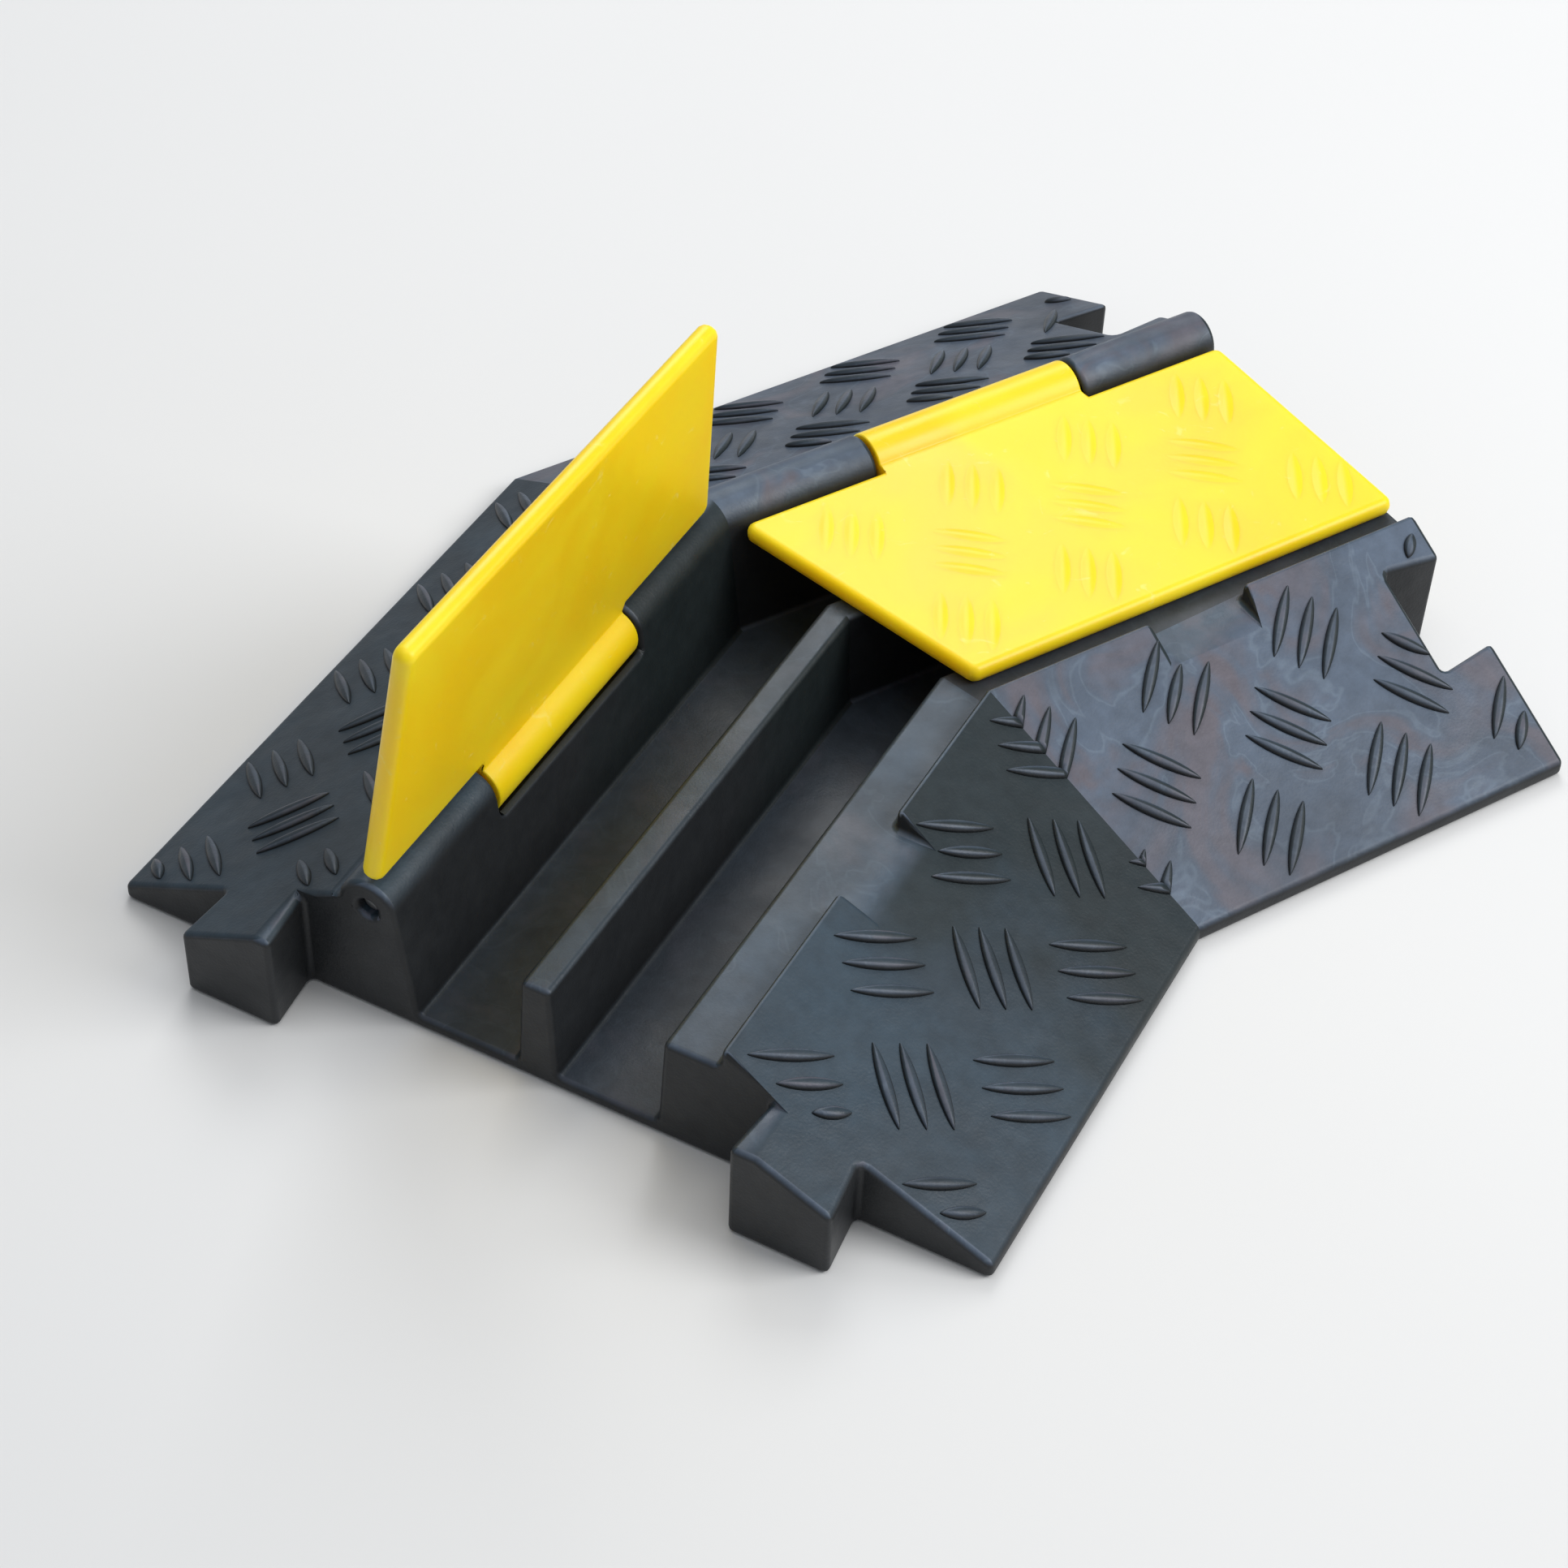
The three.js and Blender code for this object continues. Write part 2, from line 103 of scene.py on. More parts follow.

# Shares of bloom and painted sky sheen left on the back ramps and in full painted shade, and
# strength of the stains' rims
BACK_SHADE_BLOOM = 0.7
SHADED_BLOOM = 0.25
RIM_STRENGTH = 0.15

# Tolerances for merging the frame's meshes and for finding places on them
DOUBLES_APART = 0.01 * MM
SLIVER = 0.02 * MM
ON_LINE = 0.05 * MM
ON_LEDGE = 0.1 * MM
ON_NOTCH = 0.6 * MM
FLAT_ANGLE = math.radians(1)
FACING_UP = 0.999

# Steps of a rounded edge, and the angle from which an edge is rounded
BASE_ROUND_STEPS = 3
BASE_ROUND_ANGLE = math.radians(35)
LID_ROUND_STEPS = 2
LID_ROUND_ANGLE = math.radians(40)

# Slants of the bars in the outer rows and in the middle row, as width gained for each unit along
FRONT_SLANTS = (1, -1)
BACK_SLANTS = (-1, 1)
LID_SLANTS = (1.5, -0.92)

# Groups tried on either side of a row's first one, and steps in which a bar's line is tried
GROUPS_EACH_WAY = 4
LINE_STEPS = 48

# A bar's depth below the surface, and the power of its round profile: under 1 it is fuller, and
# over 1 its flanks run out softly
RAMP_BAR_ROOT = 0.5 * MM
RAMP_BAR_FULLNESS = 0.8
LID_BAR_ROOT = 0.3 * MM
LID_BAR_FULLNESS = 4.0

# The power with which a bar narrows to its ends, its faces round and along, and the angle from
# which its edges stay sharp
BAR_TAPER = 0.28
BAR_SIDES = 12
BAR_RINGS = 14
BAR_CREASE = math.radians(60)

# Half the width of the floor, in metres, and the width of the camera's sensor
FLOOR_REACH = 6.0
SENSOR_WIDTH_MM = 36

NEAR = -1
FAR = 1


def joint(name):
    """The frame's joint of that name."""
    return next(j for j in frame["joints"] if j["name"] == name)


# The plan is worked out from the two hinge lines, which meet on the mitre
FAR_HINGE = joint("far_lid_hinge")
NEAR_HINGE = joint("near_lid_hinge")
HALF_BEND = math.atan2(abs(FAR_HINGE["axis"][1]), abs(FAR_HINGE["axis"][0]))
MITRE_X = (FAR_HINGE["pos_m"][0] + NEAR_HINGE["pos_m"][0]) / 2
AXIS_MEETING_Y = FAR_HINGE["pos_m"][1] + (FAR_HINGE["pos_m"][0] - MITRE_X) * math.tan(HALF_BEND)
VERTEX_Y = AXIS_MEETING_Y - AXIS_PLACE / math.cos(HALF_BEND)
OPEN_ANGLE = -math.radians(NEAR_HINGE["range_deg"][0])


def along_line(side):
    """Unit vector from the mitre to the open end of a segment."""
    return Vector((side * math.cos(HALF_BEND), -math.sin(HALF_BEND), 0))


def across_line(side):
    """Unit vector from the front edge to the back edge of a segment."""
    return Vector((side * math.sin(HALF_BEND), math.cos(HALF_BEND), 0))


def plan_point(side, s, v, z=0.0):
    """The place at s along a segment, v behind its front edge and z above the floor."""
    return Vector((MITRE_X, VERTEX_Y, z)) + along_line(side) * s + across_line(side) * v


def plan_place(point):
    """The segment that a point lies on, with the point's s and v there."""
    side = FAR if point.x > MITRE_X else NEAR
    place = point - Vector((MITRE_X, VERTEX_Y, 0))
    return side, place.dot(along_line(side)), place.dot(across_line(side))


def mitre_s(v):
    """Where the mitre crosses the line that lies v behind the front edge."""
    return -v * math.tan(HALF_BEND)


def linear(hex_colour):
    """An sRGB hex colour as linear red, green, blue and alpha."""
    parts = [int(hex_colour[i:i + 2], 16) / 255 for i in (1, 3, 5)]
    return (*[c / 12.92 if c <= 0.04045 else ((c + 0.055) / 1.055) ** 2.4 for c in parts], 1.0)


def add_node(tree, kind, sockets=None, **settings):
    """Adds a node. sockets maps an input's name or number to a value or a node's output."""
    made = tree.nodes.new(kind)
    for key, value in settings.items():
        setattr(made, key, value)
    for key, value in (sockets or {}).items():
        if isinstance(value, bpy.types.NodeSocket):
            tree.links.new(value, made.inputs[key])
        else:
            made.inputs[key].default_value = value
    return made


def new_material(name):
    """An empty node material with its output and surface shader."""
    material = bpy.data.materials.new(name)
    material.use_nodes = True
    tree = material.node_tree
    tree.nodes.clear()
    shader = add_node(tree, "ShaderNodeBsdfPrincipled")
    add_node(tree, "ShaderNodeOutputMaterial", {"Surface": shader.outputs["BSDF"]})
    return material, tree, shader


def per_metre(size_mm):
    """The texture scale at which a pattern repeats about once in that many millimetres."""
    return 1 / (size_mm * MM)


# Materials

def moulded_rubber(name, settings, bloom_and_sky_sheen_most):
    """Compression-moulded black rubber.

    It gives the eye a charcoal body that stays dark on upright walls and, on faces that look up, a
    blue-grey bloom with a painted reflection of the sky, painted lighter on the far segment and
    painted darker on the back ramps and where shade falls, with violet and brown water stains on
    the far segment that have paler rims, a dark, slightly green patch beside the mitre on the near
    front ramp, and a satin sheen broken by a fine grain.
    """
    material, tree, shader = new_material(name)
    object_space = add_node(tree, "ShaderNodeTexCoord").outputs
    place = object_space["Object"]
    facing = add_node(tree, "ShaderNodeSeparateXYZ", {0: object_space["Normal"]}).outputs
    # Faces that look up get the bloom and a painted reflection of the sky
    upward = add_node(tree, "ShaderNodeMapRange", {
        "Value": facing["Z"], "From Min": 0.25, "From Max": 0.9,
    }, interpolation_type="SMOOTHSTEP").outputs[0]

    # The ramps of the two segments lean apart, so this product tells them from each other
    lean = add_node(tree, "ShaderNodeMath", {
        0: facing["X"], 1: facing["Y"],
    }, operation="MULTIPLY").outputs[0]
    far_share = add_node(tree, "ShaderNodeMapRange", {
        "Value": lean, "From Min": -0.035, "From Max": 0.03,
    }, interpolation_type="SMOOTHSTEP").outputs[0]

    # Broad clouds of bloom and painted sky sheen, about a hand wide
    cloud = add_node(tree, "ShaderNodeTexNoise", {
        "Vector": place, "Scale": per_metre(58), "Detail": 5.0, "Roughness": 0.55,
        "Distortion": 0.9,
    }).outputs["Fac"]
    cloud_share = add_node(tree, "ShaderNodeMapRange", {
        "Value": cloud, "From Min": 0.32, "From Max": 0.66, "To Min": 0.62, "To Max": 1.0,
    }, interpolation_type="SMOOTHSTEP").outputs[0]
    # Painted shade: the near segment's ramps get less bloom and sky sheen than the far ones
    lit_side_share = add_node(tree, "ShaderNodeMapRange", {
        "Value": far_share, "To Min": settings.near_shade_share * bloom_and_sky_sheen_most, "To Max": bloom_and_sky_sheen_most,
    }).outputs[0]
    bloom_and_sky_sheen = add_node(tree, "ShaderNodeMath", {
        0: cloud_share, 1: lit_side_share,
    }, operation="MULTIPLY").outputs[0]

    # Painted shade: the back ramps and the places where shade falls, such as the channel floors,
    # get less of it
    back_shade_share = add_node(tree, "ShaderNodeMapRange", {
        "Value": facing["Y"], "From Min": 0.1, "From Max": 0.35,
        "To Min": 1.0, "To Max": BACK_SHADE_BLOOM,
    }).outputs[0]
    # Painted shade, read from the attribute that the base's faces carry
    shade_mark = add_node(tree, "ShaderNodeAttribute", attribute_name="painted_shade").outputs["Fac"]
    unshaded_share = add_node(tree, "ShaderNodeMapRange", {
        "Value": shade_mark, "To Min": 1.0, "To Max": SHADED_BLOOM,
    }).outputs[0]
    lit_share = add_node(tree, "ShaderNodeMath", {
        0: back_shade_share, 1: unshaded_share,
    }, operation="MULTIPLY").outputs[0]
    lit_bloom_and_sky_sheen = add_node(tree, "ShaderNodeMath", {
        0: bloom_and_sky_sheen, 1: lit_share,
    }, operation="MULTIPLY").outputs[0]
    bloom_and_sky_sheen_share = add_node(tree, "ShaderNodeMath", {
        0: lit_bloom_and_sky_sheen, 1: upward,
    }, operation="MULTIPLY").outputs[0]
    # The near segment's tone is a darker, greener painted shade of the far segment's
    bloom_and_sky_sheen_tone = add_node(tree, "ShaderNodeMix", {
        0: far_share, 6: linear(settings.near_shaded_colour), 7: linear(settings.bloom_and_sky_sheen_colour),
    }, data_type="RGBA").outputs[2]
    with_bloom_and_sky_sheen = add_node(tree, "ShaderNodeMix", {
        0: bloom_and_sky_sheen_share, 6: linear(settings.shade_colour), 7: bloom_and_sky_sheen_tone,
    }, data_type="RGBA").outputs[2]

    # Water stains a few centimetres wide, with soft borders
    stain = add_node(tree, "ShaderNodeTexNoise", {
        "Vector": place, "Scale": per_metre(34), "Detail": 3.0, "Roughness": 0.5, "Distortion": 1.4,
    }).outputs["Fac"]
    stain_area = add_node(tree, "ShaderNodeMapRange", {
        "Value": stain, "From Min": 0.50, "From Max": 0.68,
    }, interpolation_type="SMOOTHSTEP").outputs[0]
    stain_side = add_node(tree, "ShaderNodeMath", {
        0: stain_area, 1: far_share,
    }, operation="MULTIPLY").outputs[0]
    stain_share = add_node(tree, "ShaderNodeMath", {
        0: stain_side, 1: bloom_and_sky_sheen_share,
    }, operation="MULTIPLY").outputs[0]
    stained = add_node(tree, "ShaderNodeMix", {
        0: stain_share, 6: with_bloom_and_sky_sheen, 7: linear(settings.stain_colour),
    }, data_type="RGBA").outputs[2]

    # A pale rim, about a millimetre wide, follows the border of each stain
    rim_in = add_node(tree, "ShaderNodeMapRange", {
        "Value": stain, "From Min": 0.485, "From Max": 0.505,
    }, interpolation_type="SMOOTHSTEP").outputs[0]
    rim_out = add_node(tree, "ShaderNodeMapRange", {
        "Value": stain, "From Min": 0.505, "From Max": 0.53, "To Min": 1.0, "To Max": 0.0,
    }, interpolation_type="SMOOTHSTEP").outputs[0]
    rim = add_node(tree, "ShaderNodeMath", {
        0: rim_in, 1: rim_out,
    }, operation="MULTIPLY").outputs[0]
    rim_bloom = add_node(tree, "ShaderNodeMath", {
        0: rim, 1: bloom_and_sky_sheen_share,
    }, operation="MULTIPLY").outputs[0]
    rim_side = add_node(tree, "ShaderNodeMath", {
        0: rim_bloom, 1: far_share,
    }, operation="MULTIPLY").outputs[0]
    rim_share = add_node(tree, "ShaderNodeMath", {
        0: rim_side, 1: RIM_STRENGTH,
    }, operation="MULTIPLY").outputs[0]
    rimmed = add_node(tree, "ShaderNodeMix", {
        0: rim_share, 6: stained, 7: linear(settings.rim_colour),
    }, data_type="RGBA").outputs[2]

    # The near front ramp is dark and a little green next to the mitre, up to a ragged border
    spot = add_node(tree, "ShaderNodeSeparateXYZ", {0: place}).outputs
    ragged = add_node(tree, "ShaderNodeTexNoise", {
        "Vector": place, "Scale": per_metre(45), "Detail": 4.0, "Roughness": 0.5,
    }).outputs["Fac"]
    raggedness = add_node(tree, "ShaderNodeMapRange", {
        "Value": ragged, "From Min": 0.3, "From Max": 0.7,
        "To Min": -DARK_PATCH_WANDER, "To Max": DARK_PATCH_WANDER,
    }).outputs[0]
    bordered = add_node(tree, "ShaderNodeMath", {
        0: spot["X"], 1: raggedness,
    }, operation="ADD").outputs[0]
    dark_patch_reach = add_node(tree, "ShaderNodeMapRange", {
        "Value": bordered, "From Min": MITRE_X - DARK_PATCH_END, "From Max": MITRE_X - DARK_PATCH_START,
    }, interpolation_type="SMOOTHSTEP").outputs[0]
    dark_patch_ramp = add_node(tree, "ShaderNodeMapRange", {
        "Value": facing["Y"], "From Min": -0.3, "From Max": -0.15, "To Min": 1.0, "To Max": 0.0,
    }).outputs[0]
    near_share = add_node(tree, "ShaderNodeMath", {
        0: 1.0, 1: far_share,
    }, operation="SUBTRACT").outputs[0]
    dark_patch_near = add_node(tree, "ShaderNodeMath", {
        0: dark_patch_ramp, 1: near_share,
    }, operation="MULTIPLY").outputs[0]
    dark_patch = add_node(tree, "ShaderNodeMath", {
        0: dark_patch_reach, 1: dark_patch_near,
    }, operation="MULTIPLY").outputs[0]
    dark_patch_share = add_node(tree, "ShaderNodeMath", {
        0: dark_patch, 1: settings.dark_patch,
    }, operation="MULTIPLY").outputs[0]
    with_dark_patch = add_node(tree, "ShaderNodeMix", {
        0: dark_patch_share, 6: rimmed, 7: linear(settings.dark_patch_colour),
    }, data_type="RGBA").outputs[2]

    # Fine mottling, a few millimetres across, breaks the tone up close
    mottle = add_node(tree, "ShaderNodeTexNoise", {
        "Vector": place, "Scale": per_metre(5), "Detail": 4.0, "Roughness": 0.6,
    }).outputs["Fac"]
    mottle_gain = add_node(tree, "ShaderNodeMapRange", {
        "Value": mottle, "From Min": 0.3, "From Max": 0.7, "To Min": 0.86, "To Max": 1.14,
    }).outputs[0]
    finished = add_node(tree, "ShaderNodeVectorMath", {
        0: with_dark_patch, 3: mottle_gain,
    }, operation="SCALE").outputs[0]
    tree.links.new(finished, shader.inputs["Base Color"])

    # Satin sheen that varies over a few centimetres
    gloss = add_node(tree, "ShaderNodeTexNoise", {
        "Vector": place, "Scale": per_metre(22), "Detail": 5.0, "Distortion": 0.5,
    }).outputs["Fac"]
    roughness = add_node(tree, "ShaderNodeMapRange", {
        "Value": gloss, "From Min": 0.3, "From Max": 0.7, "To Min": 0.36, "To Max": 0.52,
    }).outputs[0]
    tree.links.new(roughness, shader.inputs["Roughness"])

    # The grain is really about 0.3 mm and is drawn at 0.8 mm so that it shows
    grain = add_node(tree, "ShaderNodeTexNoise", {
        "Vector": place, "Scale": per_metre(0.8), "Detail": 2.0,
    }).outputs["Fac"]
    wave = add_node(tree, "ShaderNodeTexNoise", {
        "Vector": place, "Scale": per_metre(15), "Detail": 2.0,
    }).outputs["Fac"]
    grain_bump = add_node(tree, "ShaderNodeBump", {
        "Height": grain, "Strength": 0.25, "Distance": 0.25 * MM,
    })
    wave_bump = add_node(tree, "ShaderNodeBump", {
        "Height": wave, "Strength": 0.4, "Distance": 1.2 * MM,
        "Normal": grain_bump.outputs["Normal"],
    })
    tree.links.new(wave_bump.outputs["Normal"], shader.inputs["Normal"])
    shader.inputs["IOR"].default_value = 1.36
    return material


def moulded_plastic(name, settings, glow):
    """Injection-moulded polyurethane plastic.

    It gives the eye a strong warm yellow through which light passes a little, so the open lid
    glows on its shaded side, with a satin gloss, faint flow marks and a few pale scuffs. glow is
    the share of light that enters: none in the thin bars, which would look dark on their own.
    """
    material, tree, shader = new_material(name)
    place = add_node(tree, "ShaderNodeTexCoord").outputs["Object"]
    # Flow marks of the melt, several centimetres long
    flow = add_node(tree, "ShaderNodeTexNoise", {
        "Vector": place, "Scale": per_metre(50), "Detail": 3.0, "Distortion": 0.6,
    }).outputs["Fac"]
    flow_share = add_node(tree, "ShaderNodeMapRange", {
        "Value": flow, "From Min": 0.35, "From Max": 0.65,
    }, interpolation_type="SMOOTHSTEP").outputs[0]
    body = add_node(tree, "ShaderNodeMix", {
        0: flow_share, 6: linear(settings.deep_colour), 7: linear(settings.light_colour),
    }, data_type="RGBA").outputs[2]
    # Scuffs, about a centimetre across
    scuff = add_node(tree, "ShaderNodeTexNoise", {
        "Vector": place, "Scale": per_metre(9), "Detail": 6.0, "Distortion": 2.0,
    }).outputs["Fac"]
    scuff_area = add_node(tree, "ShaderNodeMapRange", {
        "Value": scuff, "From Min": 0.64, "From Max": 0.74, "To Max": 0.25,
    }, interpolation_type="SMOOTHSTEP").outputs[0]
    finished = add_node(tree, "ShaderNodeMix", {
        0: scuff_area, 6: body, 7: linear(settings.scuff_colour),
    }, data_type="RGBA").outputs[2]
    tree.links.new(finished, shader.inputs["Base Color"])
    roughness = add_node(tree, "ShaderNodeMapRange", {
        "Value": flow, "From Min": 0.3, "From Max": 0.7, "To Min": 0.30, "To Max": 0.42,
    }).outputs[0]
    tree.links.new(roughness, shader.inputs["Roughness"])
    # The mould's fine texture is drawn at 1.2 mm so that it shows
    texture = add_node(tree, "ShaderNodeTexNoise", {
        "Vector": place, "Scale": per_metre(1.2), "Detail": 2.0,
    }).outputs["Fac"]
    bump = add_node(tree, "ShaderNodeBump", {
        "Height": texture, "Strength": 0.12, "Distance": 0.2 * MM,
    })
    tree.links.new(bump.outputs["Normal"], shader.inputs["Normal"])
    shader.inputs["IOR"].default_value = 1.42
    shader.inputs["Subsurface Weight"].default_value = glow
    shader.inputs["Subsurface Radius"].default_value = (1.0, 0.75, 0.12)
    shader.inputs["Subsurface Scale"].default_value = 6 * MM
    return material


def drawn_steel(name):
    """Drawn steel rod.

    It gives the eye a grey metal end with a slightly cloudy oxide film.
    """
    material, tree, shader = new_material(name)
    place = add_node(tree, "ShaderNodeTexCoord").outputs["Object"]
    film = add_node(tree, "ShaderNodeTexNoise", {
        "Vector": place, "Scale": per_metre(4), "Detail": 4.0,
    }).outputs["Fac"]
    colour = add_node(tree, "ShaderNodeMix", {
        0: film, 6: linear("#6A6C6E"), 7: linear("#A4A5A6"),
    }, data_type="RGBA").outputs[2]
    roughness = add_node(tree, "ShaderNodeMapRange", {
        "Value": film, "To Min": 0.3, "To Max": 0.55,
    }).outputs[0]
    tree.links.new(colour, shader.inputs["Base Color"])
    tree.links.new(roughness, shader.inputs["Roughness"])
    shader.inputs["Metallic"].default_value = 1.0
    return material


def painted_floor(name):
    """Matt white floor paint.

    It gives the eye an even, nearly plain ground for the part's soft shadow.
    """
    material, tree, shader = new_material(name)
    place = add_node(tree, "ShaderNodeTexCoord").outputs["Object"]
    cloud = add_node(tree, "ShaderNodeTexNoise", {
        "Vector": place, "Scale": per_metre(400), "Detail": 2.0,
    }).outputs["Fac"]
    colour = add_node(tree, "ShaderNodeMix", {
        0: cloud, 6: linear("#DCDCDB"), 7: linear("#E1E1E0"),
    }, data_type="RGBA").outputs[2]
    tree.links.new(colour, shader.inputs["Base Color"])
    shader.inputs["Roughness"].default_value = 0.9
    return material


def made_once(name, maker, *values):
    """The material of that name, made by its maker on first use."""
    return bpy.data.materials.get(name) or maker(name, *values)


# Meshes

def add_object(name, mesh):
    """A new object at the origin that holds the mesh."""
    made = bpy.data.objects.new(name, mesh)
    bpy.context.scene.collection.objects.link(made)
    return made


def front_height(v):
    """Height of the front ramp."""
    return LIP_HEIGHT + (RIM_HEIGHT - LIP_HEIGHT) * v / FRONT_RUN


def back_height(v):
    """Height of the back ramp."""
    fall = STRIP_HEIGHT - LIP_HEIGHT
    return STRIP_HEIGHT - fall * (v - STRIP_PLACE) / (WIDTH - STRIP_PLACE)


def plain_height(point):
    """The height of a point of the base once the few-sided tread bars are pressed flat."""
    _, _, v = plan_place(point)
    if v < FRONT_RUN:
        return min(point.z, front_height(v))
    return min(point.z, back_height(v)) if v > STRIP_PLACE else point.z


def part_far_ledge(shape):
    """Parts the far finger notch's floor from the ledge under the closed lid, along the rim."""
    ledge = [
        face for face in shape.faces
        if face.normal.z > FACING_UP
        and abs(face.calc_center_median().z - LEDGE_HEIGHT) < ON_LEDGE
        and face.calc_center_median().x > MITRE_X
    ]
    edges = {edge for face in ledge for edge in face.edges}
    verts = {vert for face in ledge for vert in face.verts}
    bmesh.ops.bisect_plane(
        shape, geom=[*verts, *edges, *ledge], dist=ON_LINE,
        plane_co=plan_point(FAR, 0, FRONT_RUN), plane_no=across_line(FAR),
    )


def crease_notches(shape):
    """Keeps the line sharp where the floor of a finger notch meets its ramp."""
    for edge in shape.edges:
        middle = (edge.verts[0].co + edge.verts[1].co) / 2
        _, s, v = plan_place(middle)
        on_line = abs(v - NOTCH_PLACE) < ON_NOTCH and NOTCH_START < s < NOTCH_END
        if on_line and middle.z > BELOW_LEDGE:
            edge.smooth = False


def merged_copy(node_name, name, plain_ramps=False):
    """An object with a copy of a frame node's mesh, its doubles merged and its flat faces joined.

    The line of the mitre stays, and stays sharp. With plain ramps, the frame's few-sided bars are
    pressed flat because finer ones go in their places, and the finger notches get their lines.
    """
    mesh = frame["nodes"][node_name].data.copy()
    mesh.name = name
    shape = bmesh.new()
    shape.from_mesh(mesh)
    bmesh.ops.remove_doubles(shape, verts=shape.verts, dist=DOUBLES_APART)
    if plain_ramps:
        for vert in shape.verts:
            vert.co.z = plain_height(vert.co)
    bmesh.ops.dissolve_degenerate(shape, dist=SLIVER, edges=shape.edges)
    for edge in shape.edges:
        edge.seam = all(abs(vert.co.x - MITRE_X) < ON_LINE for vert in edge.verts)
        edge.smooth = not edge.seam
    bmesh.ops.dissolve_limit(
        shape, angle_limit=FLAT_ANGLE, verts=shape.verts, edges=shape.edges, delimit={"SEAM"},
    )
    if plain_ramps:
        part_far_ledge(shape)
        crease_notches(shape)
    for face in shape.faces:
        face.smooth = True
    shape.to_mesh(mesh)
    shape.free()
    mesh.materials.clear()
    return add_object(name, mesh)


def round_edges(piece, width, steps, angle):
    """Rounds every edge sharper than the angle and gives flat faces even shading."""
    bevel = piece.modifiers.new("rounded edges", "BEVEL")
    bevel.width = width
    bevel.segments = steps
    bevel.limit_method = "ANGLE"
    bevel.angle_limit = angle
    bevel.use_clamp_overlap = False
    bevel.miter_outer = "MITER_ARC"
    shading = piece.modifiers.new("even shading", "WEIGHTED_NORMAL")
    shading.keep_sharp = True


def settled(piece):
    """Turns a piece's modifiers into its plain mesh and returns the piece."""
    graph = bpy.context.evaluated_depsgraph_get()
    mesh = bpy.data.meshes.new_from_object(piece.evaluated_get(graph), depsgraph=graph)
    piece.modifiers.clear()
    old = piece.data
    piece.data = mesh
    mesh.name = piece.name
    bpy.data.meshes.remove(old)
    return piece


def mark_painted_shade(base):
    """Gives each face the painted shade that the rubber reads, from 0 in the open to 1."""
    # Shade falls under the closed lid, in the hinge recess, on the channel floors and on the
    # divider
    marks = base.data.attributes.new("painted_shade", "FLOAT", "FACE")
    for face, mark in zip(base.data.polygons, marks.data):
        side, s, v = plan_place(face.center)
        low = face.center.z < 0.5 * STRIP_HEIGHT
        in_recess = CHANNEL_BACK < v < STRIP_PLACE and RECESS_START < s < RECESS_END
        if side == FAR and FRONT_RUN < v < CHANNEL_FRONT and not low:
            mark.value = FULL_SHADE
        elif in_recess and face.center.z < BELOW_LEDGE:
            mark.value = FULL_SHADE
        elif FRONT_RUN < v < CHANNEL_BACK + ROUND_MARGIN and low:
            mark.value = CHANNEL_SHADE
        elif DIVIDER_FRONT - ROUND_MARGIN < v < DIVIDER_BACK + ROUND_MARGIN:
            mark.value = DIVIDER_SHADE


# Tread bars

